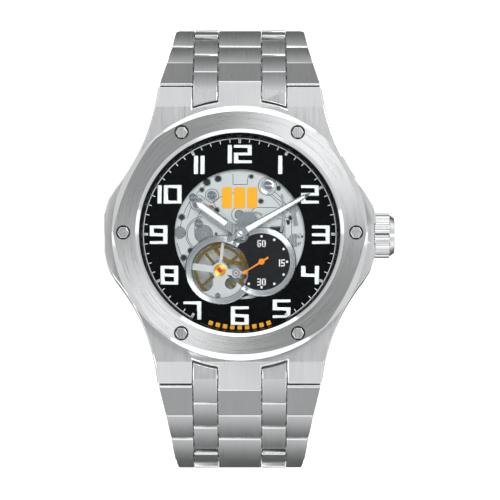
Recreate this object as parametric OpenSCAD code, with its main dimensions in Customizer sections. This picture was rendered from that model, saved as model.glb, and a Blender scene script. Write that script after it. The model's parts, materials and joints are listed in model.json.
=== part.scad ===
// Skeleton wristwatch on a three-column steel bracelet, closed as it is worn.
// +Z is up through the crystal, +Y points to 12 o'clock and +X to the crown at 3 o'clock.
// The origin is the centre of the case back's outer flat face.

/* [Case] */
// Width of the case between its sides at 3 and 9 o'clock
case_w = 44.2; // [42:0.1:54]
// Height of the case middle's top face above the case back
case_h = 9.0; // [8.6:0.1:11]
// Half the width of the case at the ends where the bracelet starts
lug_half_w = 13.4; // [13:0.1:16.5]
// Radius of the hollow waist between a shoulder and the bracelet
waist_r = 32; // [24:1:60]
// Distance from the dial centre to each bracelet hinge on the case
lug_pin_y = 23.0; // [22.8:0.1:27.6]
// Depth of that hinge below the top face
lug_pin_drop = 2.4; // [2.1:0.1:3]
// Height of the lower edge of the case middle above the case back
case_foot = 0.8; // [0.5:0.1:1.2]
// Radius of the bore that holds the movement
bore_r = 16.4; // [16.2:0.1:19.7]

/* [Bezel and crystal] */
// Outer radius of the bezel
bezel_r = 20.7; // [19.8:0.1:21.6]
// Thickness of the bezel
bezel_t = 2.35; // [1.9:0.05:2.9]
// Radius of the circle of bezel screws
screw_ring_r = 18.85; // [18.6:0.05:19.2]
// Circumradius of a hexagonal screw head
screw_head_r = 1.0; // [0.8:0.05:1.1]
// Radius of the dark counterbore round a screw head
screw_sink_r = 1.15; // [1.1:0.05:1.3]
// Radius of a screw shank
screw_shank_r = 0.55; // [0.4:0.05:0.6]
// Thickness of the crystal
crystal_t = 1.9; // [1.4:0.1:2.3]

/* [Dial and hands] */
// Radius of the opening in the middle of the dial
dial_open_r = 10.6; // [9.5:0.1:11]
// Thickness of the dial
dial_t = 0.4; // [0.3:0.05:0.5]
// Radius of the circle on which the numerals are centred
numeral_ring_r = 13.2; // [13:0.1:13.5]
// Height of a numeral
numeral_h = 3.1; // [2.5:0.1:3.3]
// Radius of the balance aperture and of the seconds disc
sub_r = 4.65; // [4.4:0.05:4.8]
// Width of the polished frame round them
sub_rim = 1.0; // [0.6:0.05:1.2]
// Length of the hour hand from the centre
hour_len = 9.2; // [8:0.1:10]
// Length of the minute hand from the centre
minute_len = 13.3; // [12:0.1:14.5]
// Length of the seconds hand from its own centre
seconds_len = 3.6; // [3:0.1:4.2]

/* [Movement] */
// Radius of the main plate
plate_r = 14.5; // [14:0.1:14.6]
// Thickness of the main plate
plate_t = 1.4; // [1.2:0.1:1.7]
// Radius of the winding rotor
rotor_r = 13.4; // [11:0.1:13.6]
// Radius of the balance rim
balance_r = 4.2; // [3.6:0.05:4.35]

/* [Crown] */
// Radius of the crown over its flutes
crown_r = 3.65; // [3.2:0.05:4.4]
// Length of the crown
crown_len = 3.3; // [2.8:0.1:4]
// Number of flutes round the crown
crown_flutes = 18; // [14:2:24]

/* [Bracelet] */
// Distance from one bracelet hinge to the next
link_pitch = 6.85; // [5.8:0.05:8.3]
// Thickness of a link
link_t = 3.6; // [3:0.05:4.4]
// Half the width of the centre column
centre_half = 3.55; // [3:0.05:4.3]
// Width of an intermediate link
mid_w = 3.95; // [3.3:0.05:4.3]
// Half the width of the bracelet at the clasp
clasp_half_w = 9.8; // [9.6:0.1:11.5]
// Radius of a link pin
pin_r = 0.5; // [0.4:0.05:0.6]
// Gap between neighbouring columns, and between the rows
link_gap = 0.1; // [0.08:0.01:0.16]
// Radius of a clasp push button
button_r = 1.1; // [0.9:0.05:1.3]

/* [Hidden] */
$fn = 96;

// Clearances: slide is a close running or seated fit, pivot is round a fine arbor's pivot.
slide = 0.05;
pivot_gap = 0.04;
through = 1;

// Heights of the stack, downwards from the case middle's top face.
dial_z = case_h - 0.7 - dial_t;
plate_top = dial_z - 0.3;
plate_z = plate_top - plate_t;
bridge_t = 1.0;
bridge_top = plate_z - 1.4;
bridge_z = bridge_top - bridge_t;
rotor_t = 1.0;
rotor_z = bridge_z - 0.4 - rotor_t;
// The winding stem runs midway between the bridge and the main plate.
crown_z = (bridge_top + plate_z) / 2;
bezel_z = case_h + 0.05;
crystal_z = bezel_z + 0.5;

// Case back: a ring that seats in the case middle and holds a window.
back_t = 2.0;
back_r = bore_r + 1.3;
window_r = bore_r - 3.9;
glass_z = 0.4;
glass_top = 1.5;
glass_step = 0.6;
groove_in_r = bore_r + 0.95;
groove_w = 0.6;

// Outline of the case middle: a flat side, a shoulder, then a hollow waist.
side_flat = 3.0;
shoulder = [case_w / 2 - 1.8, 7.3];
shoulder_mid = [case_w / 2 - 0.75, 5.6];
waist_end = [lug_half_w, lug_pin_y + 0.6];
end_spare = 4;

// Bracelet columns and angles below the horizontal, from the case to the clasp.
half_t = link_t / 2;
mid_x0 = centre_half + link_gap;
mid_x1 = mid_x0 + mid_w;
outer_x0 = mid_x1 + link_gap;
fall = [56, 57.5, 59, 79, 105, 131, 155];
units = len(fall);
pin_hole_r = pin_r + slide;
end_relief = 0.75;
edge = 0.22;
lug_wall = 0.62;
case_gap = 0.22;
row_start = link_pitch / 4;
first_centre_start = pin_hole_r + lug_wall;
first_outer_start = 0.35;
slot_r = lug_pin_y - 1.1;
slot_end_gap = 0.3;
lug_pin_z = case_h - lug_pin_drop;

// Sum of the steps down the bracelet: the hinge at the start of unit i, 0 being the case's.
function step(i) = link_pitch * [cos(fall[i]), -sin(fall[i])];
function hinge(i) = i == 0 ? [lug_pin_y, lug_pin_z] : hinge(i - 1) + step(i - 1);
// The bracelet narrows quickly near the case and slowly near the clasp.
narrowing = 2.1;
function half_w(s) = clasp_half_w
    + (lug_half_w - 0.2 - clasp_half_w) * pow(max(0, 1 - s / units), narrowing);

// Train: tooth counts and modules give the distances between the arbors.
sub_y = -4.5;
seconds_at = [3.54, sub_y];
balance_at = [-3.22, -5.82];
centre_teeth = 80;
centre_m = 0.12;
third_teeth = 75;
third_m = 0.09;
fourth_teeth = 80;
fourth_m = 0.08;
train_pinion = 10;
escape_pinion = 8;
barrel_teeth = 84;
barrel_m = 0.13;
barrel_pinion = 12;
centre_third = centre_m * (centre_teeth + train_pinion) / 2;
third_fourth = third_m * (third_teeth + train_pinion) / 2;
centre_fourth = norm(seconds_at);
fourth_dir = atan2(seconds_at[1], seconds_at[0]);
third_dir = fourth_dir + acos((centre_third * centre_third + centre_fourth * centre_fourth
    - third_fourth * third_fourth) / (2 * centre_third * centre_fourth));
third_at = centre_third * [cos(third_dir), sin(third_dir)];
fourth_from_third = atan2(seconds_at[1] - third_at[1], seconds_at[0] - third_at[0]);
escape_dir = 219;
fourth_escape = fourth_m * (fourth_teeth + escape_pinion) / 2;
escape_at = seconds_at + fourth_escape * [cos(escape_dir), sin(escape_dir)];
fork_dir = 164;
fork_at = escape_at + 1.42 * [cos(fork_dir), sin(fork_dir)];
barrel_dir = 140;
barrel_at = barrel_m * (barrel_teeth + barrel_pinion) / 2 * [cos(barrel_dir), sin(barrel_dir)];
motion_m = 0.12;
cannon_teeth = 10;
minute_teeth = 30;
minute_pinion = 8;
hour_teeth = 32;
minute_dir = 57;
minute_at = motion_m * (cannon_teeth + minute_teeth) / 2 * [cos(minute_dir), sin(minute_dir)];

// Levels of the train between the bridge and the main plate.
centre_level = bridge_top + 0.15;
third_level = bridge_top + 0.55;
fourth_level = bridge_top + 0.95;
escape_level = bridge_top + 0.4;
spring_level = bridge_top + 0.78;
balance_level = plate_z + 0.1;
motion_level = plate_top + 0.05;
pivot_r = 0.12;
arbor_r = 0.25;
jewel_r = 0.6;
jewel_t = 0.4;
jewel_hole_r = pivot_r + pivot_gap;
// Jewels lie this far inside the bridge's and the main plate's inner faces.
jewel_low = bridge_top - 0.1 - jewel_t;
jewel_high = plate_z + 0.1;
pivot_end = 0.1;
centre_arbor_r = 0.3;
cannon_r = 0.55;
hour_pipe_r = 0.85;

// Levels of the hands above the dial.
hour_z = dial_z + dial_t + 0.45;
minute_z = hour_z + 0.3;
hand_t = 0.2;
seconds_z = dial_z + dial_t + 0.15;
hour_dir = 144;
minute_hand_dir = 30;
seconds_dir = 212;

// Clasp levels: the wrist side is up, the cover is below.
clasp_end = hinge(units);
clasp_y = clasp_end[0];
clasp_z = clasp_end[1];
blade_t = 0.9;
inner_z = clasp_z + 0.75;
middle_z = clasp_z - 0.45;
cover_z = clasp_z - 1.9;
cover_t = 1.0;
cover_half_w = clasp_half_w - 0.15;
cover_wall = 0.9;
blade_half_w = cover_half_w - cover_wall - 0.3;
knuckle_r = 0.95;
knuckle_split = 3.9;
blade_hinge_y = clasp_y - 6.2;
cover_hinge_y = -clasp_y + 5.4;
clasp_start = row_start + 0.7;
button_y = clasp_y - 12;
button_z = clasp_z - 0.45;
button_travel = 0.8;
button_room = button_travel + 1;
bar_gap = 0.45;

steel = "#b9bbbd";
dark = "#17181a";
white = "#f1f1ee";
brass = "#c9a04f";
gold = "#d0a555";
ruby = "#b3134f";
plate_silver = "#cfd0ce";

// ---- helpers ----

function polar(r, a) = r * [cos(a), sin(a)];
function flip(points, sx, sy) = [for (p = points) [sx * p[0], sy * p[1]]];
function backwards(points) = [for (i = [len(points) - 1:-1:0]) points[i]];

// Centre of the arc of radius r through p and q that bulges away from the far side of p-q.
function arc_centre(p, q, r) = let(
    m = (p + q) / 2,
    d = q - p,
    h = sqrt(r * r - d * d / 4)
) m + h * [d[1], -d[0]] / norm(d);

module rod(r, z0, z1) {
    translate([0, 0, z0]) cylinder(r = r, h = z1 - z0);
}

module ring(r_out, r_in, z0, z1) {
    difference() {
        rod(r_out, z0, z1);
        rod(r_in, z0 - through, z1 + through);
    }
}

// Lays a 2-D shape drawn in (along, up) on the plane x = x0 and thickens it to x1.
module bar_x(x0, x1) {
    translate([x0, 0, 0]) rotate([90, 0, 90]) linear_extrude(x1 - x0) children();
}

module rod_x(r, x0, x1) {
    translate([x0, 0, 0]) rotate([0, 90, 0]) cylinder(r = r, h = x1 - x0);
}

module both_sides() {
    children();
    mirror([1, 0, 0]) children();
}

module both_ends() {
    children();
    mirror([0, 1, 0]) children();
}

// Straight-sided teeth with generous backlash; the first tooth points along +X.
module teeth_2d(count, m) {
    pitch_r = count * m / 2;
    tip_r = pitch_r + 0.8 * m;
    root_r = pitch_r - 1.15 * m;
    step_a = 360 / count;
    polygon([for (i = [0:count - 1], k = [[root_r, -0.27], [tip_r, -0.1], [tip_r, 0.1],
        [root_r, 0.27]]) polar(k[0], (i + k[1]) * step_a)]);
}

// A wheel with spokes: teeth on a thin rim, a hub, and straight arms.
module wheel(count, m, z0, t, arms, rim_w, hub_r) {
    root_r = count * m / 2 - 1.15 * m;
    translate([0, 0, z0]) linear_extrude(t) {
        difference() {
            teeth_2d(count, m);
            circle(r = root_r - rim_w);
        }
        circle(r = hub_r);
        for (i = [0:arms - 1]) rotate(i * 360 / arms)
            translate([0, -rim_w / 2]) square([root_r - rim_w / 2, rim_w]);
    }
}

module pinion(count, m, z0, z1) {
    translate([0, 0, z0]) linear_extrude(z1 - z0) teeth_2d(count, m);
}

module arbor(r, body_z0, body_z1, low, high) {
    rod(r, body_z0, body_z1);
    rod(pivot_r, low, body_z0 + 0.01);
    rod(pivot_r, body_z1 - 0.01, high);
}

module at(p) {
    translate([p[0], p[1], 0]) children();
}

// ---- case ----

module case_outline() {
    quarter = [[case_w / 2, side_flat], shoulder_mid, shoulder, waist_end,
        [lug_half_w, lug_pin_y + end_spare]];
    difference() {
        polygon(concat(quarter, backwards(flip(quarter, -1, 1)), flip(quarter, -1, -1),
            backwards(flip(quarter, 1, -1))));
        both_sides() both_ends()
            translate(arc_centre(shoulder, waist_end, waist_r)) circle(r = waist_r, $fn = 180);
    }
}

// Side view of the case middle: a flat top under the bezel that slopes to the ends.
module case_side() {
    end_top = lug_end(first_centre_start - case_gap, half_t + 0.25);
    end_low = lug_end(first_centre_start - case_gap - 0.3, -half_t + 0.2);
    half = [[bezel_r - 2.4, case_foot], [end_low[0] - 0.4, end_low[1] - 0.6], end_low, end_top,
        [bezel_r + 0.1, case_h]];
    polygon(concat(half, backwards(flip(half, -1, 1))));
}

// A point in the first unit's own frame, given in the side view.
function lug_end(u, v) = [lug_pin_y, lug_pin_z]
    + u * [cos(fall[0]), -sin(fall[0])] + v * [sin(fall[0]), cos(fall[0])];

// Everything beyond the plane u = start in the first unit's frame, leaning back below.
module beyond_first(start) {
    translate([0, lug_pin_y, lug_pin_z]) rotate([-fall[0], 0, 0])
        bar_x(outer_x0 - link_gap - 0.05, lug_half_w + 5)
            polygon([[start, 6], [start, half_t - edge], [start - 0.3, -half_t], [start - 0.3, -9],
                [20, -9], [20, 6]]);
}

module first_slot() {
    difference() {
        translate([mid_x0 - link_gap, 0, 0])
            cube([mid_w + 2 * link_gap, lug_pin_y + 10, case_h + through]);
        translate([0, 0, -through]) cylinder(r = slot_r, h = case_h + 4 * through);
    }
}

module case_middle() {
    color(steel) difference() {
        intersection() {
            linear_extrude(case_h) case_outline();
            bar_x(-case_w, case_w) case_side();
        }
        rod(bore_r, 0, case_h + through);
        rod(back_r + slide, 0, back_t);
        ring(groove_in_r + groove_w, groove_in_r, case_h - 0.35, case_h + through);
        both_ends() {
            both_sides() {
                first_slot();
                beyond_first(first_outer_start - case_gap);
            }
            translate([0, lug_pin_y, lug_pin_z]) rod_x(pin_hole_r, -mid_x0, mid_x0);
        }
        for (a = [0:60:300]) rotate(a) translate([screw_ring_r, 0, 0])
            rod(screw_shank_r + slide, case_h - bezel_screw_depth, case_h + through);
        translate([0, 0, crown_z]) rod_x(tube_r + slide, bore_r - 2, case_w);
        // Flat for the crown to seat against, and room for it to turn.
        translate([case_w / 2, 0, crown_z]) rod_x(crown_r + 0.3, -0.25, 3);
    }
}

module case_back() {
    color(steel) difference() {
        rod(back_r, 0, back_t);
        rod(window_r + slide, glass_z, back_t + through);
        rod(window_r - glass_step, -through, back_t);
        ring(back_r - 0.35, back_r - 0.95, back_t - 0.4, back_t + through);
        for (a = [0:60:300]) rotate(a + 30) translate([back_r - 1.9, 0, -through])
            cylinder(r = 0.8, h = through + 0.5);
    }
}

// The window is stepped, so that its outer face is flush with the ring.
module case_back_glass() {
    color("#cfe0e8", 0.4) {
        rod(window_r, glass_z, glass_top);
        rod(window_r - glass_step - slide, 0, glass_z + 0.1);
    }
}

module case_gaskets() {
    color(dark) {
        ring(groove_in_r + groove_w - slide, groove_in_r + slide, case_h - 0.35, case_h + 0.03);
        ring(back_r - 0.4, back_r - 0.9, back_t - 0.4, back_t - 0.02);
    }
}

module lug_pins() {
    color(steel) both_ends() translate([0, lug_pin_y, lug_pin_z])
        rod_x(pin_r, -mid_x1 + 0.3, mid_x1 - 0.3);
}

// ---- bezel, crystal and dial ----

bevel_w = 1.0;
bevel_h = 0.55;
bezel_screw_depth = 1.6;

module bezel() {
    inner_r = bore_r - 0.1;
    color(steel) difference() {
        rotate_extrude($fn = 180) polygon([[inner_r, bezel_z], [bezel_r, bezel_z],
            [bezel_r, bezel_z + bezel_t - bevel_h], [bezel_r - bevel_w, bezel_z + bezel_t],
            [inner_r + 0.6, bezel_z + bezel_t], [inner_r, bezel_z + bezel_t - 0.35]]);
        for (a = [0:60:300]) rotate(a) translate([screw_ring_r, 0, 0]) {
            rod(screw_shank_r + slide, bezel_z - through, bezel_z + bezel_t + through);
            rod(screw_sink_r, bezel_z + bezel_t - 0.5, bezel_z + bezel_t + through);
        }
    }
}

module bezel_screws() {
    head_z = bezel_z + bezel_t - 0.5;
    color("#e3e4e5") for (a = [0:60:300]) rotate(a) translate([screw_ring_r, 0, 0])
        difference() {
            union() {
                translate([0, 0, head_z]) cylinder(r = screw_head_r, h = 0.42, $fn = 6);
                rod(screw_shank_r, case_h - bezel_screw_depth + 0.1, head_z + 0.1);
            }
            translate([-2, -0.14, head_z + 0.2]) cube([4, 0.28, 1]);
        }
}

module crystal() {
    r = bore_r - 0.15;
    color("#dfeaf2", 0.25) rotate_extrude($fn = 180) polygon([[0, crystal_z],
        [r, crystal_z], [r, crystal_z + crystal_t - 0.25], [r - 0.25, crystal_z + crystal_t],
        [0, crystal_z + crystal_t]]);
}

rehaut_in_r = bore_r - 0.7;

module rehaut() {
    r = bore_r - 0.15;
    low = dial_z + dial_t;
    color(dark) rotate_extrude($fn = 180) polygon([[rehaut_in_r, low], [r, low],
        [r, crystal_z], [r - 0.25, crystal_z]]);
}

dial_r = bore_r - 0.1;

module dial() {
    color(dark) difference() {
        rod(dial_r, dial_z, dial_z + dial_t);
        rod(dial_open_r, dial_z - through, dial_z + dial_t + through);
        // Seats for the subdial discs where they reach under the ring.
        for (p = [seconds_at, balance_at]) at(p)
            rod(sub_r + 0.1, dial_z - through, dial_z + dial_t + through);
    }
}

// ---- numerals: bars on a seven-segment figure ----

bar_v = 0.77;
bar_h = 0.54;
digit_w = 3.0;
applied_t = 0.3;

// Segments: a top, b upper right, c lower right, d bottom, e lower left, f upper left, g middle.
SEGMENTS = ["abcdef", "bc", "abged", "abgcd", "fgbc", "afgcd", "afgedc", "abc", "abcdefg",
    "abcdfg"];

module segment(s) {
    w = digit_w;
    h = numeral_h;
    if (s == "a") translate([0, h - bar_h]) square([w, bar_h]);
    if (s == "d") square([w, bar_h]);
    if (s == "g") translate([0, (h - bar_h) / 2]) square([w, bar_h]);
    if (s == "b") translate([w - bar_v, (h - bar_h) / 2]) square([bar_v, (h + bar_h) / 2]);
    if (s == "c") translate([w - bar_v, 0]) square([bar_v, (h + bar_h) / 2]);
    if (s == "e") square([bar_v, (h + bar_h) / 2]);
    if (s == "f") translate([0, (h - bar_h) / 2]) square([bar_v, (h + bar_h) / 2]);
}

module digit(n) {
    for (s = SEGMENTS[n]) segment(s);
}

// A numeral centred on the origin; a 1 is a single bar.
module numeral(n) {
    bar_gap_x = 0.25;
    if (n < 10) {
        if (n == 1) translate([-bar_v / 2, -numeral_h / 2]) square([bar_v, numeral_h]);
        else translate([-digit_w / 2, -numeral_h / 2]) digit(n);
    } else {
        ones = n - 10;
        second_w = ones == 1 ? bar_v : digit_w;
        total = bar_v + (ones == 1 ? 0.3 : bar_gap_x) + second_w;
        translate([-total / 2, -numeral_h / 2]) {
            square([bar_v, numeral_h]);
            translate([total - second_w, 0])
                if (ones == 1) square([bar_v, numeral_h]);
                else digit(ones);
        }
    }
}

// The 5 and the 7 sit lower than the ring, clear of the subdial frame.
function numeral_at(n) = polar(numeral_ring_r, 90 - 30 * n)
    + (n == 5 ? [0.2, -0.75] : n == 7 ? [-1.1, -1.05] : [0, -0.1]);

module hour_numerals() {
    color(white) intersection() {
        for (n = [1:12]) translate([numeral_at(n)[0], numeral_at(n)[1], dial_z + dial_t])
            linear_extrude(applied_t) numeral(n);
        rod(rehaut_in_r - slide, dial_z, case_h);
    }
}

module subdial_frame() {
    z = dial_z + dial_t;
    color(steel) difference() {
        for (p = [seconds_at, balance_at]) at(p) rod(sub_r + sub_rim, z, z + 0.3);
        for (p = [seconds_at, balance_at]) at(p) rod(sub_r, z - through, z + through);
        rod(1.5, z - through, z + through);
    }
}

module seconds_dial() {
    z = dial_z + 0.1;
    color(dark) difference() {
        at(seconds_at) rod(sub_r + 0.05, z, z + 0.25);
        at(balance_at) rod(sub_r, z - through, z + through);
        rod(1.5, z - through, z + through);
        at(seconds_at) rod(0.35, z - through, z + through);
    }
}

// ---- hands ----

module hour_hand() {
    color(white) rotate(hour_dir) difference() {
        union() {
            rod(1.25, hour_z, hour_z + hand_t);
            translate([0, 0, hour_z]) linear_extrude(hand_t)
                polygon([[0, -0.45], [3.2, -0.55], [hour_len - 1.4, -0.75], [hour_len, 0],
                    [hour_len - 1.4, 0.75], [3.2, 0.55], [0, 0.45]]);
        }
        rod(hour_pipe_r + 0.02, hour_z - through, hour_z + through);
    }
}

module minute_hand() {
    color(white) rotate(minute_hand_dir) {
        difference() {
            union() {
                rod(0.95, minute_z, minute_z + hand_t);
                translate([0, 0, minute_z]) linear_extrude(hand_t)
                    polygon([[-2.4, -0.4], [2.6, -0.5], [minute_len - 0.9, -0.3],
                        [minute_len, 0], [minute_len - 0.9, 0.3], [2.6, 0.5], [-2.4, 0.4]]);
            }
            rod(cannon_r + 0.02, minute_z - through, minute_z + through);
        }
    }
}

module seconds_hand() {
    color("#f0601c") at(seconds_at) rotate(seconds_dir) difference() {
        union() {
            rod(0.52, seconds_z, seconds_z + 0.12);
            translate([0, 0, seconds_z]) linear_extrude(0.12)
                polygon([[-1.3, -0.16], [seconds_len, -0.09], [seconds_len, 0.09], [-1.3, 0.16]]);
        }
        rod(0.17, seconds_z - through, seconds_z + through);
    }
}

// ---- movement ----

movement_r = bore_r - slide;
ring_in_r = plate_r + 0.1;

module movement_ring() {
    color("#a9abac") difference() {
        union() {
            ring(movement_r, ring_in_r, back_t + 0.2, dial_z);
            ring(ring_in_r + 0.5, plate_r - 0.5, plate_z - 0.6, plate_z);
        }
        translate([0, 0, crown_z]) rod_x(0.9, plate_r - 2, case_w);
    }
}

module main_plate() {
    color(plate_silver) difference() {
        rod(plate_r, plate_z, plate_top);
        at(balance_at) rod(sub_r, plate_z - through, plate_top + through);
        for (p = [third_at, seconds_at, [0, 0]]) at(p) {
            rod(jewel_r + slide, jewel_high, jewel_high + jewel_t + 0.01);
            rod(wheel_arbor_hole_r, plate_z - through, plate_top + through);
        }
        at(barrel_at) rod(barrel_hole_r, plate_z - through, plate_top + through);
        // Recess for the balance bridge.
        bridge_body(plate_t, slide);
        at(bridge_foot) rod(bridge_screw_hole_r, plate_z + 0.1, plate_top);
        for (p = dial_side_screws) at(p) rod(0.3 + slide, plate_z + 0.3, plate_top + through);
        at(minute_at) rod(0.3, plate_top - 0.8, plate_top + through);
        for (p = pillar_points) at(p) rod(pillar_bore_r, plate_z - through, plate_z + 0.9);
        at(pallet_anchor) rod(anchor_bore_r, plate_z - through, plate_z + 0.7);
    }
}

balance_bridge_z = plate_z + 0.75;
// Screw that holds the balance bridge, outside the balance, and a small one over its rim.
bridge_foot = balance_at + [0, -5.7];
rim_screw = balance_at + [-0.3, -4.1];
dial_side_screws = [[-6.66, 1.75], [-4.55, 6.44], [-7.54, 6.0], [7.9, -3.0], [4.6, 8.0]];
pillar_points = [[-11.2, 6.0], [9.6, 6.4], [10.2, -7.4], [-10.6, -7.2]];
pallet_anchor = [1.6, -9.2];
anchor_bore_r = 0.3;

// The train bridge stands on four pillars, each with a screw sunk into its lower face.
bridge_margin = 0.6;
pillar_r = 1.1;
pillar_bore_r = 0.4;
pillar_sink_r = 0.9;
pillar_sink_depth = 0.35;
barrel_hole_r = 0.75;
wheel_arbor_hole_r = 0.42;
bridge_screw_hole_r = 0.35;

bridge_boss_r = 1.2;
bridge_reach = 6.6;

// Body of the balance bridge: a round boss on an arm that widens to its foot.
module bridge_body(t, grow) {
    at(balance_at) {
        rod(bridge_boss_r + grow, balance_bridge_z, balance_bridge_z + t);
        translate([0, 0, balance_bridge_z]) linear_extrude(t)
            polygon([[-0.75 - grow, 0], [0.75 + grow, 0], [1.5 + grow, -bridge_reach - grow],
                [-1.8 - grow, -bridge_reach - grow]]);
    }
}

bridge_arm_t = 0.65;

module balance_bridge() {
    color(plate_silver) difference() {
        bridge_body(bridge_arm_t, 0);
        at(balance_at) {
            rod(jewel_r + slide, balance_bridge_z + 0.15, plate_top + through);
            rod(0.3, balance_bridge_z - through, plate_top);
        }
        at(bridge_foot) rod(bridge_screw_hole_r, balance_bridge_z - through, plate_top);
        at(rim_screw) rod(0.3, balance_bridge_z + 0.1, plate_top);
    }
}

module train_bridge() {
    color(plate_silver) difference() {
        union() {
            rod(plate_r - bridge_margin, bridge_z, bridge_top);
            for (p = pillar_points) at(p) rod(pillar_r, bridge_top - 0.1, plate_z);
        }
        for (p = [third_at, seconds_at, [0, 0], escape_at, fork_at, balance_at]) at(p) {
            rod(jewel_r + slide, jewel_low - 0.01, bridge_top + through);
            rod(0.3, bridge_z - through, bridge_top);
        }
        at(barrel_at) rod(barrel_hole_r, bridge_z - through, bridge_top + through);
        for (p = pillar_points) at(p) {
            rod(pillar_bore_r, bridge_z - through, plate_z + through);
            rod(pillar_sink_r, bridge_z - through, bridge_z + pillar_sink_depth);
        }
        // Openings that let the train be seen from the back.
        at([-9.3, -2.2]) rod(1.8, bridge_z - through, bridge_top + through);
        at([8.8, 1.6]) rod(1.9, bridge_z - through, bridge_top + through);
        at([4.6, -10.4]) rod(1.3, bridge_z - through, bridge_top + through);
        at([2.6, 9.6]) rod(2.1, bridge_z - through, bridge_top + through);
        rod(bearing_r + slide, bridge_z - through, bridge_z + bearing_seat);
    }
}

module jewel() {
    difference() {
        rod(jewel_r, 0, jewel_t);
        rod(jewel_hole_r, -through, jewel_t + through);
    }
}

module jewels() {
    color(ruby) {
        for (p = [third_at, seconds_at, escape_at, fork_at, balance_at])
            translate([p[0], p[1], jewel_low]) jewel();
        translate([third_at[0], third_at[1], jewel_high]) jewel();
        for (p = [escape_at, fork_at]) translate([p[0], p[1], pallet_bridge_z]) scale([0.5, 0.5, 1])
            ring(jewel_r, 2 * jewel_hole_r, 0, pallet_bridge_t);
        translate([balance_at[0], balance_at[1], balance_bridge_z + 0.15]) jewel();
        // The centre arbor and the seconds arbor run in larger holes.
        ring(jewel_r, centre_arbor_r + pivot_gap, jewel_low, jewel_low + jewel_t);
        ring(jewel_r, centre_arbor_r + pivot_gap, jewel_high, jewel_high + jewel_t);
        translate([seconds_at[0], seconds_at[1], 0])
            ring(jewel_r, 0.15 + pivot_gap, jewel_high, jewel_high + jewel_t);
    }
}

pallet_bridge_t = 0.22;
pallet_bridge_z = plate_z - pallet_bridge_t;

module pallet_bridge() {
    color(plate_silver) difference() {
        translate([0, 0, pallet_bridge_z]) linear_extrude(pallet_bridge_t) {
            for (p = [escape_at, fork_at, pallet_anchor]) translate(p) circle(r = 0.62);
            strip(escape_at, fork_at, 0.9);
            strip(escape_at, pallet_anchor, 0.9);
        }
        for (p = [escape_at, fork_at]) at(p)
            rod(jewel_r / 2 + 0.02, pallet_bridge_z - through, plate_z + through);
        at(pallet_anchor) rod(anchor_bore_r, pallet_bridge_z - through, plate_z + through);
    }
}

// A straight strip of width w between two points.
module strip(p, q, w) {
    d = q - p;
    translate(p) rotate(atan2(d[1], d[0])) translate([0, -w / 2]) square([norm(d), w]);
}

module movement_screws() {
    color("#8f97a5") {
        for (p = dial_side_screws) at(p) slotted_screw(0.75, 0.3, plate_top, 0.28, plate_z + 0.35);
        at(bridge_foot)
            slotted_screw(0.6, 0.3, balance_bridge_z + bridge_arm_t, 0.22, plate_z + 0.15);
        at(rim_screw)
            slotted_screw(0.45, 0.25, balance_bridge_z + bridge_arm_t, 0.2, balance_bridge_z + 0.15);
        for (p = pillar_points) at(p) mirror([0, 0, 1])
            slotted_screw(0.8, 0.35, -bridge_z - 0.33, 0.3, -plate_z - 0.8);
        at(pallet_anchor) mirror([0, 0, 1])
            slotted_screw(0.5, 0.25, -pallet_bridge_z, 0.2, -plate_z - 0.6);
    }
}

// Head from z up by head_t, with a shank down to the given depth.
module slotted_screw(head_r, shank_r, z, head_t, depth) {
    difference() {
        union() {
            rod(head_r, z, z + head_t);
            rod(shank_r, depth, z + 0.01);
        }
        translate([-2, -0.09, z + head_t - 0.12]) cube([4, 0.18, 1]);
    }
}

// Levers and springs of the winding and setting mechanism, flat on the main plate.
module keyless_works() {
    t = 0.25;
    z = plate_top;
    color("#d9dadb") {
        // Setting lever
        translate([0, 0, z]) linear_extrude(t) {
            translate([8.6, 4.2]) circle(r = 0.9);
            strip([8.6, 4.2], [9.2, 1.4], 0.9);
        }
        // Yoke with its U-shaped slot
        translate([0, 0, z]) linear_extrude(t) difference() {
            union() {
                translate([9.0, -0.9]) circle(r = 1.1);
                strip([9.0, -0.9], [7.2, -2.0], 0.8);
            }
            translate([9.3, -1.2]) square([3, 0.6]);
        }
        // Spring
        translate([0, 0, z]) linear_extrude(t) {
            strip([6.9, 6.6], [7.2, 3.0], 0.45);
            strip([7.2, 3.0], [6.7, 0.4], 0.45);
            translate([7.2, 3.0]) circle(r = 0.4);
        }
    }
}

module barrel() {
    z0 = third_level - 0.12;
    z1 = plate_z - 0.12;
    color(brass) at(barrel_at) difference() {
        union() {
            rotate(barrel_dir + 180) pinion(barrel_teeth, barrel_m, z0, z0 + 0.3);
            rod(barrel_teeth * barrel_m / 2 - 0.4, z0, z1);
            rod(0.7, bridge_z + 0.1, plate_top - 0.1);
        }
        for (i = [0:5]) rotate(i * 60) translate([3.3, 0, 0]) rod(0.9, z1 - 0.2, z1 + through);
    }
}

module centre_wheel() {
    color(gold) {
        rotate(third_dir) wheel(centre_teeth, centre_m, centre_level, 0.2, 5, 0.45, 1.0);
        rotate(barrel_dir + 180 / barrel_pinion)
            pinion(barrel_pinion, barrel_m, third_level - 0.15, third_level + 0.3);
        rod(0.6, centre_level, third_level + 0.4);
        rod(centre_arbor_r, jewel_low + 0.02, minute_z + 0.1);
    }
}

module third_wheel() {
    color(gold) at(third_at) {
        rotate(third_dir + 180 + 180 / train_pinion)
            pinion(train_pinion, centre_m, centre_level - 0.05, centre_level + 0.25);
        rotate(fourth_from_third)
            wheel(third_teeth, third_m, third_level, 0.15, 4, 0.35, 0.7);
        arbor(arbor_r, centre_level - 0.1, plate_z - 0.08, jewel_low + pivot_end,
            jewel_high + jewel_t - pivot_end);
    }
}

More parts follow.
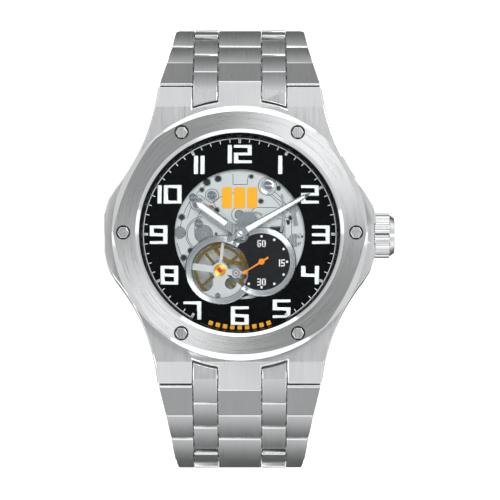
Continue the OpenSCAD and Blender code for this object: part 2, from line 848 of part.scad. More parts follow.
module fourth_wheel() {
    color(gold) at(seconds_at) {
        rotate(fourth_from_third + 180 + 180 / train_pinion)
            pinion(train_pinion, third_m, third_level - 0.05, third_level + 0.2);
        rotate(escape_dir)
            wheel(fourth_teeth, fourth_m, fourth_level, 0.12, 4, 0.3, 0.6);
        rod(0.2, centre_level - 0.1, fourth_level + 0.2);
        rod(pivot_r, jewel_low + pivot_end, centre_level);
        rod(0.15, fourth_level, seconds_z + 0.1);
    }
}

escape_r = 1.12;
escape_teeth = 15;

module escape_wheel() {
    color(gold) at(escape_at) {
        rotate(escape_dir + 180 + 180 / escape_pinion)
            pinion(escape_pinion, fourth_m, fourth_level - 0.05, fourth_level + 0.14);
        translate([0, 0, escape_level]) linear_extrude(0.14) {
            for (i = [0:escape_teeth - 1]) rotate(i * 360 / escape_teeth)
                polygon([[escape_r - 0.42, -0.12], [escape_r, 0.02], [escape_r - 0.02, 0.1],
                    [escape_r - 0.42, 0.12]]);
            difference() {
                circle(r = escape_r - 0.36);
                circle(r = escape_r - 0.58);
            }
            circle(r = 0.3);
            for (i = [0:3]) rotate(i * 90) translate([0, -0.07]) square([escape_r - 0.5, 0.14]);
        }
        rod(0.14, escape_level - 0.15, fourth_level + 0.12);
        rod(pivot_r, jewel_low + pivot_end, escape_level);
        rod(pivot_r, fourth_level, plate_z - 0.02);
    }
}

fork_dir_in = atan2(balance_at[1] - fork_at[1], balance_at[0] - fork_at[0]);
fork_reach = norm(balance_at - fork_at) - 0.62;

module pallet_fork() {
    color(steel) at(fork_at) {
        translate([0, 0, escape_level]) linear_extrude(0.14) {
            circle(r = 0.26);
            rotate(fork_dir_in) translate([0, -0.09]) square([fork_reach, 0.18]);
            rotate(fork_dir_in) difference() {
                translate([fork_reach - 0.1, -0.28]) square([0.34, 0.56]);
                translate([fork_reach + 0.02, -0.14]) square([0.4, 0.28]);
            }
            for (s = [-1, 1]) rotate(fork_dir + 180 + s * 66)
                translate([0, -0.08]) square([0.8, 0.16]);
        }
        rod(0.14, escape_level - 0.15, fourth_level);
        rod(pivot_r, jewel_low + pivot_end, escape_level);
        rod(pivot_r, fourth_level - 0.01, plate_z - 0.02);
    }
}

module balance_wheel() {
    color(gold) at(balance_at) {
        ring(balance_r, balance_r - 0.5, balance_level, balance_level + 0.42);
        translate([0, 0, balance_level + 0.1]) linear_extrude(0.2) {
            circle(r = 0.75);
            for (i = [0:3]) rotate(40 + i * 90)
                translate([0, -0.22]) square([balance_r - 0.3, 0.44]);
        }
        for (i = [0:7]) rotate(17 + i * 45) translate([balance_r - 0.25, 0, 0])
            rod(0.17, balance_level - 0.04, balance_level + 0.47);
        rod(0.2, escape_level - 0.15, balance_level + 0.4);
        rod(0.42, escape_level + 0.16, escape_level + 0.28);
        translate([0.27, 0, 0]) rod(0.06, escape_level, escape_level + 0.2);
        rod(pivot_r, jewel_low + pivot_end, escape_level);
        rod(pivot_r, balance_level, balance_bridge_z + 0.15 + jewel_t - pivot_end);
    }
}

coil_turns = 6;
coil_pitch = 0.24;
coil_in = 0.55;

module hairspring() {
    color("#5b6f9c") at(balance_at) translate([0, 0, spring_level]) linear_extrude(0.14)
        for (i = [0:coil_turns - 1]) {
            r = coil_in + i * coil_pitch;
            half_ring(r, 0.06, 0);
            translate([coil_pitch / 2, 0]) half_ring(r + coil_pitch / 2, 0.06, 180);
        }
}

// Half a thin ring of centre-line radius r: two centres a half pitch apart make a spiral.
module half_ring(r, w, a) {
    rotate(a) intersection() {
        difference() {
            circle(r = r + w / 2);
            circle(r = r - w / 2);
        }
        translate([-r - 1, -0.001]) square([2 * r + 2, r + 1]);
    }
}

module cannon_pinion() {
    color(steel) difference() {
        union() {
            rod(cannon_r, motion_level, minute_z + hand_t);
            rotate(minute_dir) pinion(cannon_teeth, motion_m, motion_level, motion_level + 0.14);
            rod(0.75, minute_z + hand_t, minute_z + hand_t + 0.2);
        }
        rod(centre_arbor_r + 0.02, motion_level - through, minute_z + 0.15);
    }
}

module minute_wheel() {
    stud_top = motion_level + 0.32;
    color(gold) at(minute_at) {
        rotate(minute_dir + 180 + 180 / minute_teeth)
            pinion(minute_teeth, motion_m, motion_level, motion_level + 0.12);
        rotate(minute_dir + 180 + 180 / minute_pinion)
            pinion(minute_pinion, motion_m, motion_level, stud_top);
        rod(arbor_r, plate_top - 0.75, stud_top);
    }
}

module hour_wheel() {
    z = motion_level + 0.16;
    color(gold) difference() {
        union() {
            rotate(minute_dir) pinion(hour_teeth, motion_m, z, z + 0.14);
            rod(hour_pipe_r, z, hour_z + hand_t);
        }
        rod(cannon_r + 0.06, z - through, hour_z + through);
    }
}

bearing_r = 2.1;
bearing_bore_r = 0.6;
bearing_seat = 0.3;

module rotor_bearing() {
    color(steel) ring(bearing_r, bearing_bore_r, rotor_z + 0.1, bridge_z + bearing_seat);
}

module rotor() {
    hub_in = bearing_r + slide;
    color("#c7c8c9") difference() {
        union() {
            ring(hub_in + 1.3, hub_in, rotor_z + 0.25, rotor_z + rotor_t - 0.05);
            intersection() {
                ring(rotor_r, rotor_r - 2.6, rotor_z, rotor_z + rotor_t);
                translate([-rotor_r, -rotor_r, rotor_z - 1]) cube([2 * rotor_r, rotor_r, 3]);
            }
            intersection() {
                ring(rotor_r - 2.5, hub_in + 1.2, rotor_z + 0.35, rotor_z + 0.75);
                translate([-rotor_r, -rotor_r, rotor_z - 1]) cube([2 * rotor_r, rotor_r, 3]);
            }
        }
        for (a = [210, 250, 290, 330]) rotate(a) translate([7.2, 0, 0])
            rod(1.5, rotor_z - through, rotor_z + rotor_t + through);
    }
}

// ---- crown ----

tube_r = 1.6;
tube_in_r = 1.2;
stem_r = 0.5;
crown_x = case_w / 2 - 0.2;
flute_r = 0.36;
crown_end = 0.8;

module crown_tube() {
    color(steel) translate([0, 0, crown_z]) difference() {
        rod_x(tube_r, bore_r + 0.3, crown_x + 1.4);
        rod_x(tube_in_r, bore_r - 1, crown_x + 3);
    }
}

module crown_gasket() {
    color(dark) translate([crown_x, 0, crown_z]) difference() {
        rod_x(tube_r + 0.6, 0.35, 0.95);
        rod_x(tube_r + slide, 0, 2);
    }
}

module crown() {
    body_len = crown_len - crown_end;
    color(steel) translate([crown_x, 0, crown_z]) difference() {
        union() {
            rotate([0, 90, 0]) linear_extrude(body_len) difference() {
                circle(r = crown_r);
                for (i = [0:crown_flutes - 1]) rotate((i + 0.5) * 360 / crown_flutes)
                    translate([crown_r + 0.12, 0]) circle(r = flute_r, $fn = 24);
            }
            rotate([0, 90, 0]) translate([0, 0, body_len - 0.01])
                cylinder(r1 = crown_r - 0.25, r2 = crown_r - 0.8, h = crown_len - body_len + 0.01);
        }
        rod_x(tube_r + 0.7, -through, 1.7);
        rod_x(stem_r + 0.02, 0, crown_len - 0.6);
    }
}

module winding_stem() {
    color(steel) translate([0, 0, crown_z])
        rod_x(stem_r, plate_r - 3.2, crown_x + crown_len - 0.65);
}

// ---- bracelet ----

// Places a child in the frame of unit i: +Y runs down the bracelet, +Z points outwards.
module unit_frame(i) {
    translate([0, hinge(i)[0], hinge(i)[1]]) rotate([-fall[i], 0, 0]) children();
}

// Side view of a link: broken upper edges, and ends that lean in below so that it can bend.
module link_side(u0, u1) {
    a = u0 + link_gap / 2;
    b = u1 - link_gap / 2;
    polygon([[a, half_t - edge], [a + edge, half_t], [b - edge, half_t], [b, half_t - edge],
        [b - end_relief, -half_t], [a + end_relief, -half_t]]);
}

// Side view of the first intermediate, which follows the case's top before it bends down.
module first_mid_side() {
    up = [sin(fall[0]), cos(fall[0])];
    along = [cos(fall[0]), -sin(fall[0])];
    end_u = 3 * row_start - link_gap / 2;
    flat_y = slot_r - 2.2 - lug_pin_y;
    polygon([[flat_y, 1.7], [0.55, 1.65], half_t * up + 0.3 * along,
        (end_u - edge) * along + half_t * up,
        end_u * along + (half_t - edge) * up,
        (end_u - end_relief) * along - half_t * up,
        0.9 * along - half_t * up, [flat_y, -1.5]]);
}

// The slanting inner end keeps the same gap to the round wall of its slot.
module first_mid() {
    difference() {
        translate([0, lug_pin_y, lug_pin_z]) bar_x(mid_x0, mid_x1) first_mid_side();
        rod(slot_r + slot_end_gap, -3, case_h + 3);
        translate([0, lug_pin_y, lug_pin_z]) rod_x(pin_hole_r, mid_x0 - 1, mid_x1 - 0.25);
        unit_frame(0) translate([0, link_pitch / 2, 0]) rod_x(pin_hole_r, 0, mid_x1 + 1);
    }
}

module mid_link(i) {
    unit_frame(i) difference() {
        bar_x(mid_x0, mid_x1) link_side(-row_start, 3 * row_start);
        rod_x(pin_hole_r, mid_x0 - 1, mid_x1 + 1);
        translate([0, link_pitch / 2, 0]) rod_x(pin_hole_r, mid_x0 - 1, mid_x1 + 1);
    }
}

// The taper is carried on a little before the row, for the first unit's longer outer links.
module outer_link(i, u0) {
    w0 = half_w(i + 0.25);
    w1 = half_w(i + 1.25);
    hole_end = pin_half(i) + 0.05;
    back = 4;
    back_w = w0 + (w0 - w1) * back / link_pitch;
    unit_frame(i) difference() {
        intersection() {
            bar_x(outer_x0, lug_half_w + 1) link_side(u0, 5 * row_start);
            translate([0, 0, -half_t]) linear_extrude(link_t)
                polygon([[outer_x0, -back], [back_w, row_start - back], [w0, row_start],
                    [w1, 5 * row_start], [outer_x0, 5 * row_start + 1]]);
        }
        for (u = [link_pitch / 2, link_pitch]) translate([0, u, 0])
            rod_x(pin_hole_r, outer_x0 - 1, hole_end);
    }
}

module centre_link(i, u0) {
    unit_frame(i) difference() {
        bar_x(-centre_half, centre_half) link_side(u0, 5 * row_start);
        for (u = [link_pitch / 2, link_pitch]) translate([0, u, 0])
            rod_x(pin_hole_r, -mid_x0, mid_x0);
    }
}

// Pins stop inside the outer column, short of its outer face.
function pin_half(i) = half_w(i + 1.25) - 0.8;

module unit(i) {
    centre_u0 = i == 0 ? first_centre_start : row_start;
    outer_u0 = i == 0 ? first_outer_start : row_start;
    color(steel) {
        centre_link(i, centre_u0);
        both_sides() {
            outer_link(i, outer_u0);
            if (i == 0) first_mid();
            else mid_link(i);
        }
        unit_frame(i) for (u = [link_pitch / 2, link_pitch]) translate([0, u, 0])
            rod_x(pin_r, -pin_half(i), pin_half(i));
    }
}

module link_12_1() unit(0);
module link_12_2() unit(1);
module link_12_3() unit(2);
module link_12_4() unit(3);
module link_12_5() unit(4);
module link_12_6() unit(5);
module link_12_7() unit(6);
module link_6_1() mirror([0, 1, 0]) unit(0);
module link_6_2() mirror([0, 1, 0]) unit(1);
module link_6_3() mirror([0, 1, 0]) unit(2);
module link_6_4() mirror([0, 1, 0]) unit(3);
module link_6_5() mirror([0, 1, 0]) unit(4);
module link_6_6() mirror([0, 1, 0]) unit(5);
module link_6_7() mirror([0, 1, 0]) unit(6);

// ---- clasp ----

// A pair of ears in the intermediate columns, round the last hinge of the bracelet.
module clasp_ears(z0, z1, reach) {
    both_sides() bar_x(mid_x0, mid_x1) polygon([[-1.3, z0 + 0.45], [-0.75, z0], [reach, z0],
        [reach, z1], [-0.75, z1], [-1.3, z1 - 0.45]]);
}

module clasp_inner_blade() {
    color("#c2c4c6") difference() {
        union() {
            translate([0, -clasp_y, 0]) clasp_ears(clasp_z - 1.2, inner_z + blade_t,
                clasp_start + 0.4);
            translate([-blade_half_w, -clasp_y + clasp_start, inner_z])
                cube([2 * blade_half_w, blade_hinge_y + clasp_y - clasp_start, blade_t]);
            for (s = [-1, 1]) translate([0, blade_hinge_y, inner_z + blade_t - knuckle_r])
                rod_x(knuckle_r, s > 0 ? knuckle_split + 0.1 : -blade_half_w,
                    s > 0 ? blade_half_w : -knuckle_split - 0.1);
        }
        translate([0, -clasp_y, clasp_z]) rod_x(pin_hole_r, -clasp_half_w, clasp_half_w);
        translate([0, blade_hinge_y, inner_z + blade_t - knuckle_r])
            rod_x(pin_hole_r, -clasp_half_w, clasp_half_w);
        // Room for the middle blade's knuckle.
        translate([-knuckle_split, blade_hinge_y - knuckle_r - 0.35, inner_z - 3])
            cube([2 * knuckle_split, 5, 8]);
        // Window that lightens the blade.
        translate([-4.2, -9, inner_z - 1]) cube([8.4, 15, 4]);
    }
    color(steel) translate([0, blade_hinge_y, inner_z + blade_t - knuckle_r])
        rod_x(pin_r, -blade_half_w + 0.2, blade_half_w - 0.2);
}

module clasp_middle_blade() {
    top_knuckle_z = inner_z + blade_t - knuckle_r;
    low_knuckle_z = middle_z + knuckle_r - blade_t - 0.25;
    color("#c2c4c6") difference() {
        union() {
            translate([-knuckle_split + 0.2, cover_hinge_y, middle_z])
                cube([2 * knuckle_split - 0.4, blade_hinge_y - cover_hinge_y, blade_t]);
            translate([-blade_half_w + button_room, cover_hinge_y + 3, middle_z])
                cube([2 * (blade_half_w - button_room), blade_hinge_y - cover_hinge_y - 6, blade_t]);
            translate([0, blade_hinge_y, top_knuckle_z])
                rod_x(knuckle_r, -knuckle_split + 0.2, knuckle_split - 0.2);
            translate([0, cover_hinge_y, low_knuckle_z])
                rod_x(knuckle_r, -knuckle_split + 0.2, knuckle_split - 0.2);
        }
        for (p = [[blade_hinge_y, top_knuckle_z], [cover_hinge_y, low_knuckle_z]])
            translate([0, p[0], p[1]]) rod_x(pin_hole_r, -knuckle_split, knuckle_split);
        translate([-5.2, -10, middle_z - 1]) cube([10.4, 19, 3]);
    }
    color(steel) translate([0, cover_hinge_y, low_knuckle_z])
        rod_x(pin_r, -cover_half_w + cover_wall, cover_half_w - cover_wall);
}

module clasp_cover() {
    low_knuckle_z = middle_z + knuckle_r - blade_t - 0.25;
    wall_top = clasp_z + 0.6;
    far_y = clasp_y - clasp_start;
    color(steel) difference() {
        union() {
            // Outer plate
            translate([-cover_half_w, cover_hinge_y, cover_z])
                cube([2 * cover_half_w, far_y - cover_hinge_y, cover_t]);
            both_sides() translate([cover_half_w - cover_wall, cover_hinge_y, cover_z])
                cube([cover_wall, far_y - cover_hinge_y, wall_top - cover_z]);
            both_sides() translate([0, cover_hinge_y, low_knuckle_z])
                rod_x(knuckle_r, knuckle_split, cover_half_w);
            translate([0, clasp_y, 0]) mirror([0, 1, 0])
                clasp_ears(cover_z + 0.4, clasp_z + 1.25, clasp_start + 0.4);
            translate([-cover_half_w, far_y - 1.4, cover_z])
                cube([2 * cover_half_w, 1.4, clasp_z + 1.25 - cover_z]);
        }
        translate([0, cover_hinge_y, low_knuckle_z])
            rod_x(pin_hole_r, -cover_half_w + cover_wall - 0.1, cover_half_w - cover_wall + 0.1);
        // Room for the middle blade's knuckle and for the end of its plate.
        translate([-knuckle_split, cover_hinge_y - 3, cover_z - 3])
            cube([2 * knuckle_split, 3 + knuckle_r + 0.5, 9]);
        // The spring bar of the last link drops into an open notch.
        translate([0, clasp_y, clasp_z]) {
            rod_x(pin_r + bar_gap, -clasp_half_w, clasp_half_w);
            translate([-clasp_half_w, -pin_r - bar_gap, 0])
                cube([2 * clasp_half_w, 2 * (pin_r + bar_gap), 5]);
        }
        both_sides() translate([0, button_y, button_z])
            rod_x(button_r + slide, cover_half_w - cover_wall - button_room, cover_half_w + 1);
    }
}

module button() {
    color(steel) translate([0, button_y, button_z]) {
        rod_x(button_r, cover_half_w - cover_wall - 0.6, cover_half_w + button_travel + 0.25);
    }
}

module clasp_button_a() button();
module clasp_button_b() mirror([1, 0, 0]) button();

case_middle();
case_back();
case_back_glass();
case_gaskets();
bezel();
bezel_screws();
crystal();
rehaut();
dial();
hour_numerals();
subdial_frame();
seconds_dial();
hour_hand();
minute_hand();
seconds_hand();
main_plate();
keyless_works();
movement_ring();
hour_wheel();
minute_wheel();
cannon_pinion();
barrel();
centre_wheel();
third_wheel();
fourth_wheel();
escape_wheel();
pallet_fork();
pallet_bridge();
balance_wheel();
hairspring();
balance_bridge();
train_bridge();
jewels();
movement_screws();
rotor();
rotor_bearing();
crown_tube();
crown_gasket();
crown();
winding_stem();
lug_pins();
link_12_1();
link_12_2();
link_12_3();
link_12_4();
link_12_5();
link_12_6();
link_12_7();
link_6_1();
link_6_2();
link_6_3();
link_6_4();
link_6_5();
link_6_6();
link_6_7();
clasp_inner_blade();
clasp_middle_blade();
clasp_cover();
clasp_button_a();
clasp_button_b();
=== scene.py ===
# %% [markdown]
# # A skeleton wristwatch in steel
# The watch is already designed as solid parts. This lesson dresses those parts: it gives every
# edge the small radius that a polisher leaves, every surface the marks of the tool that made it,
# and then lights the watch as a studio would. All lengths are in metres in Blender, so a size
# that a watchmaker would give in millimetres is multiplied by MM.

# %% Load the frame
import json
import math
import bmesh
import bpy
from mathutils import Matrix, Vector


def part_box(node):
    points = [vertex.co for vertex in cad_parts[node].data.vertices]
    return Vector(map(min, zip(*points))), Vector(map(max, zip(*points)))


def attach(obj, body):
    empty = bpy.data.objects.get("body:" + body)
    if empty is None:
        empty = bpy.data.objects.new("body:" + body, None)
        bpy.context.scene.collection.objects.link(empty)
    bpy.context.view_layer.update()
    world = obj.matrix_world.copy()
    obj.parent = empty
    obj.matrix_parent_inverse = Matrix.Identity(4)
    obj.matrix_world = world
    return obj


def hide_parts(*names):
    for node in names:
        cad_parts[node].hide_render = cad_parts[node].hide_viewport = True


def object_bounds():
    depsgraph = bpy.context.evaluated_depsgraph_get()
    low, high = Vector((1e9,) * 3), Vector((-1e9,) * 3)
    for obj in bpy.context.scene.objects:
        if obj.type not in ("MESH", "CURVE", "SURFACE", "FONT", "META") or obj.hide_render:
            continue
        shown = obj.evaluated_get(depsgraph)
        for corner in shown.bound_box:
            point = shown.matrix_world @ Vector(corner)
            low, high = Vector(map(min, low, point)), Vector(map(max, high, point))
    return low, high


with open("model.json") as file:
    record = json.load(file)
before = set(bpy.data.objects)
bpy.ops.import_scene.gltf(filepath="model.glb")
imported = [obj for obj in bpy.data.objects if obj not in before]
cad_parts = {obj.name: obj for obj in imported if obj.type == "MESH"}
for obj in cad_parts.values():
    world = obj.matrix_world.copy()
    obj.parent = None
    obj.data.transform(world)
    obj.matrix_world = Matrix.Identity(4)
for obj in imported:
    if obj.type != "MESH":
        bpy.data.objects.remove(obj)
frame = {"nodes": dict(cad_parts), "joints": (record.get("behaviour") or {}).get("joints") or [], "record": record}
cad_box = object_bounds()
MM = 0.001

# %% [markdown]
# ## Places taken from the solids
# The key levels and centres are read from the boxes of the solid parts, never by eye. A box gives the
# lowest and the highest corner of a part, so the top face of the dial is the z of its high corner.

# %% Read the key levels and centres
def low(node):
    return Vector(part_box(node)[0])


def high(node):
    return Vector(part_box(node)[1])


def middle(node):
    return (low(node) + high(node)) / 2


DIAL_TOP = high("dial").z
BEZEL_R = high("bezel").x
BEZEL_TOP = high("bezel").z
BEZEL_LOW = low("bezel").z
PLATE_TOP = high("main_plate").z
FRAME_TOP = high("subdial_frame").z
SECONDS_AT = middle("fourth_wheel").xy
BALANCE_AT = middle("balance_wheel").xy
print("dial top", round(DIAL_TOP / MM, 2), "mm; bezel radius", round(BEZEL_R / MM, 2), "mm")

# %% [markdown]
# ## The camera
# A long lens from far away keeps the watch nearly free of perspective, as in a catalogue picture.
# The camera stands on the 6 o'clock side, five degrees off the straight-down view.

# %% Camera
ELEVATION = math.radians(85)
DISTANCE = 0.6
VIEW_WIDTH = 81.25 * MM
SENSOR = 36
aim = Vector((1.67 * MM, -2.58 * MM, DIAL_TOP))
camera_data = bpy.data.cameras.new("camera")
camera_data.sensor_width = SENSOR
camera_data.lens = SENSOR * DISTANCE / VIEW_WIDTH
camera_data.clip_start = 0.01
camera = bpy.data.objects.new("camera", camera_data)
bpy.context.collection.objects.link(camera)
camera.location = aim + DISTANCE * Vector((0, -math.cos(ELEVATION), math.sin(ELEVATION)))
camera.rotation_euler = (math.radians(90) - ELEVATION, 0, 0)
bpy.context.scene.camera = camera

# %% [markdown]
# ## Node helper
# A material is a small network of nodes. One function adds any node, sets its properties, and
# fills its inputs: a value is typed in, and another node's output is linked.

# %% Node helper and colours
def add(tree, kind, inputs=None, **settings):
    node = tree.nodes.new(kind)
    for name, value in settings.items():
        setattr(node, name, value)
    for name, value in (inputs or {}).items():
        if isinstance(value, bpy.types.NodeSocket):
            tree.links.new(value, node.inputs[name])
        else:
            node.inputs[name].default_value = value
    return node


def colour(hex_text):
    """sRGB hex, such as 'c8c9ca', to the linear colour that Blender's sockets hold."""
    parts = [int(hex_text[i:i + 2], 16) / 255 for i in (0, 2, 4)]
    linear = [c / 12.92 if c <= 0.04045 else ((c + 0.055) / 1.055) ** 2.4 for c in parts]
    return (*linear, 1.0)


def new_material(name, base, metallic, roughness, **shader):
    material = bpy.data.materials.new(name)
    material.use_nodes = True
    tree = material.node_tree
    surface = tree.nodes["Principled BSDF"]
    surface.inputs["Base Color"].default_value = colour(base)
    surface.inputs["Metallic"].default_value = metallic
    surface.inputs["Roughness"].default_value = roughness
    for socket, value in shader.items():
        surface.inputs[socket.replace("_", " ")].default_value = value
    return material, tree, surface


# %% [markdown]
# ## Brushed steel
# The case and the links are stainless steel, drawn over a belt of about 180 grit. The belt leaves
# parallel scratches along the bracelet. A noise that is squeezed across the scratches and stretched
# along them gives those lines; it drives the roughness, a little of the colour, and a fine bump.
# Real scratches are 0.02 mm apart, too fine to see in a whole view, so they are drawn coarser.

# %% Brushed and polished steel
def streaks(tree, vector, scratch, length):
    """Noise with lines `scratch` metres wide, running for `length` metres along Y and Z."""
    stretch = add(tree, "ShaderNodeMapping", {"Vector": vector,
                                              "Scale": (1 / scratch, 1 / length, 1 / length)})
    return add(tree, "ShaderNodeTexNoise", {"Vector": stretch.outputs["Vector"], "Scale": 1.0,
                                            "Detail": 3.0, "Roughness": 0.6})


def finish_with(tree, surface, pattern, base, spread, roughness, rough_spread, bump, depth):
    """Lets one pattern vary the colour, the roughness and the relief together."""
    dark, light = [tuple(min(1, c * k) for c in colour(base)[:3]) + (1.0,)
                   for k in (1 - spread, 1 + spread)]
    mix = add(tree, "ShaderNodeMix", {"Factor": pattern.outputs["Fac"], 6: dark, 7: light},
              data_type="RGBA")
    tree.links.new(mix.outputs[2], surface.inputs["Base Color"])
    rough = add(tree, "ShaderNodeMapRange", {"Value": pattern.outputs["Fac"], "From Min": 0.3,
                                             "From Max": 0.7, "To Min": roughness - rough_spread,
                                             "To Max": roughness + rough_spread})
    tree.links.new(rough.outputs["Result"], surface.inputs["Roughness"])
    relief = add(tree, "ShaderNodeBump", {"Height": pattern.outputs["Fac"], "Strength": bump,
                                          "Distance": depth})
    tree.links.new(relief.outputs["Normal"], surface.inputs["Normal"])


def brushed_steel(name, base, roughness, scratch=0.09 * MM, spread=0.10, bump=0.25):
    material, tree, surface = new_material(name, base, 1.0, roughness)
    place = add(tree, "ShaderNodeTexCoord")
    lines = streaks(tree, place.outputs["Object"], scratch, 6 * MM)
    finish_with(tree, surface, lines, base, spread, roughness, 0.07, bump, 0.01 * MM)
    return material


def polished_steel(name, base, roughness=0.09):
    """Buffed on a felt wheel: a near mirror with a faint haze of wiping marks."""
    material, tree, surface = new_material(name, base, 1.0, roughness)
    place = add(tree, "ShaderNodeTexCoord")
    haze = add(tree, "ShaderNodeTexNoise", {"Vector": place.outputs["Object"],
                                            "Scale": 1 / (1.6 * MM), "Detail": 4.0})
    finish_with(tree, surface, haze, base, 0.03, roughness, 0.03, 0.05, 0.004 * MM)
    return material


STEEL = "b9babb"
steel_brushed = brushed_steel("stainless steel, belt brushed", STEEL, 0.34)
steel_satin = brushed_steel("stainless steel, fine brushed intermediates", "d4d5d6", 0.24,
                            scratch=0.06 * MM, spread=0.05, bump=0.12)
steel_polished = polished_steel("stainless steel, polished edge", "dcddde")

# %% [markdown]
# ## Circular brushing
# The bezel is held on a lathe and brushed while it turns, so its lines run round the dial. The
# trick is to measure every point by its distance from the centre: a noise squeezed along that
# distance gives rings. Anisotropy then stretches each highlight across the rings, which makes the
# bright and dark sectors that slide round a real bezel.

# %% Circular brushed steel
def ring_noise(tree, line_width, centre=(0.0, 0.0)):
    place = add(tree, "ShaderNodeTexCoord")
    shifted = add(tree, "ShaderNodeVectorMath", {0: place.outputs["Object"],
                                                 1: (-centre[0], -centre[1], 0)}, operation="ADD")
    flat = add(tree, "ShaderNodeVectorMath", {0: shifted.outputs["Vector"], 1: (1, 1, 0)},
               operation="MULTIPLY")
    radius = add(tree, "ShaderNodeVectorMath", {0: flat.outputs["Vector"]}, operation="LENGTH")
    turn = add(tree, "ShaderNodeVectorMath", {0: flat.outputs["Vector"]}, operation="NORMALIZE")
    rings = add(tree, "ShaderNodeMath", {0: radius.outputs["Value"], 1: 1 / line_width},
                operation="MULTIPLY")
    around = add(tree, "ShaderNodeVectorMath", {0: turn.outputs["Vector"], "Scale": 2.2},
                 operation="SCALE")
    apart = add(tree, "ShaderNodeSeparateXYZ", {"Vector": around.outputs["Vector"]})
    joined = add(tree, "ShaderNodeCombineXYZ", {"X": apart.outputs["X"], "Y": apart.outputs["Y"],
                                                "Z": rings.outputs["Value"]})
    return add(tree, "ShaderNodeTexNoise", {"Vector": joined.outputs["Vector"], "Scale": 1.0,
                                            "Detail": 3.0, "Roughness": 0.65})


def turned_steel(name, base, roughness, line_width, anisotropy, centre=(0.0, 0.0)):
    material, tree, surface = new_material(name, base, 1.0, roughness, Anisotropic=anisotropy,
                                           Anisotropic_Rotation=0.25)
    lines = ring_noise(tree, line_width, centre)
    finish_with(tree, surface, lines, base, 0.09, roughness, 0.06, 0.22, 0.01 * MM)
    tangent = add(tree, "ShaderNodeTangent", direction_type="RADIAL", axis="Z")
    tree.links.new(tangent.outputs["Tangent"], surface.inputs["Tangent"])
    return material


bezel_brushed = turned_steel("stainless steel, circular brushed bezel", "b4b5b6", 0.3,
                             0.10 * MM, 0.85)
frame_round_balance = turned_steel("steel frame, turned round the balance", "a9aaab", 0.26,
                                   0.07 * MM, 0.5, BALANCE_AT)
frame_round_seconds = turned_steel("steel frame, turned round the seconds", "a9aaab", 0.26,
                                   0.07 * MM, 0.5, SECONDS_AT)

# %% [markdown]
# ## Sandblasted and grained movement parts
# The main plate and the bridges are brass, plated with rhodium. Sandblasting gives them an even
# frosted grain; the light part of the grain is a little smoother. The grain of real blasting is
# about 0.03 mm; here it is 0.08 mm so that it shows as a soft sparkle and not as flat paint.

# %% Movement finishes
def frosted_metal(name, base, roughness, grain, spread, bump):
    material, tree, surface = new_material(name, base, 1.0, roughness)
    place = add(tree, "ShaderNodeTexCoord")
    fine = add(tree, "ShaderNodeTexNoise", {"Vector": place.outputs["Object"],
                                            "Scale": 1 / grain, "Detail": 2.0, "Roughness": 0.7})
    finish_with(tree, surface, fine, base, spread, roughness, 0.08, bump, 0.01 * MM)
    return material


def striped_metal(name, base, stripe):
    """Waves of light left by a grinding wheel that is drawn across in straight cuts."""
    material, tree, surface = new_material(name, base, 1.0, 0.3)
    place = add(tree, "ShaderNodeTexCoord")
    slant = add(tree, "ShaderNodeMapping", {"Vector": place.outputs["Object"],
                                            "Rotation": (0, 0, math.radians(35))})
    waves = add(tree, "ShaderNodeTexWave", {"Vector": slant.outputs["Vector"],
                                            "Scale": math.pi / (10 * stripe), "Distortion": 0.4,
                                            "Detail": 2.0}, wave_profile="SAW")
    finish_with(tree, surface, waves, base, 0.14, 0.3, 0.07, 0.3, 0.02 * MM)
    return material


plate_frosted = frosted_metal("rhodium plated brass, sandblasted", "d9dad8", 0.36, 0.08 * MM,
                              0.13, 0.4)
lever_steel = brushed_steel("lever steel, straight grained", "c4c6c8", 0.25, scratch=0.05 * MM)
bridge_striped = striped_metal("rhodium plated brass, striped", "cfd0ce", 2.2 * MM)
gilt = frosted_metal("gilt brass, satin", "c79a4b", 0.26, 0.1 * MM, 0.06, 0.15)
gilt_bright = frosted_metal("gilt brass, bright setting", "e0a63f", 0.3, 0.12 * MM, 0.05, 0.08)
disc_satin = frosted_metal("steel disc, fine satin", "a4a6a8", 0.3, 0.06 * MM, 0.08, 0.2)
balance_gilt = frosted_metal("balance brass, pale gilt", "a8925a", 0.22, 0.12 * MM, 0.06, 0.1)
blued = polished_steel("heat blued steel", "3a4f86", 0.2)
screw_steel = polished_steel("screw steel, flat polished", "c9ccd1", 0.16)
# Painted shade: a dark steel laid where shade falls, in the screw sinks, holes, gaps, pockets and slots.
painted_shade_steel = frosted_metal("steel painted dark as shade", "3b3c3e", 0.42, 0.1 * MM, 0.2, 0.2)

# %% [markdown]
# ## Lacquers, lume, rubber, ruby and glass
# These are not metals: a coloured body lies under a clear gloss. Lacquer shows a faint orange peel
# in its reflections; lume is a chalky paste; a synthetic ruby is clear, but it sits in metal and
# reads as a glossy crimson bead.

# %% Non-metal finishes
def coated(name, base, roughness, ripple, ripple_size, spread=0.06, **shader):
    material, tree, surface = new_material(name, base, 0.0, roughness, **shader)
    place = add(tree, "ShaderNodeTexCoord")
    peel = add(tree, "ShaderNodeTexNoise", {"Vector": place.outputs["Object"],
                                            "Scale": 1 / ripple_size, "Detail": 2.0})
    finish_with(tree, surface, peel, base, spread, roughness, 0.4 * roughness, ripple, 0.01 * MM)
    return material


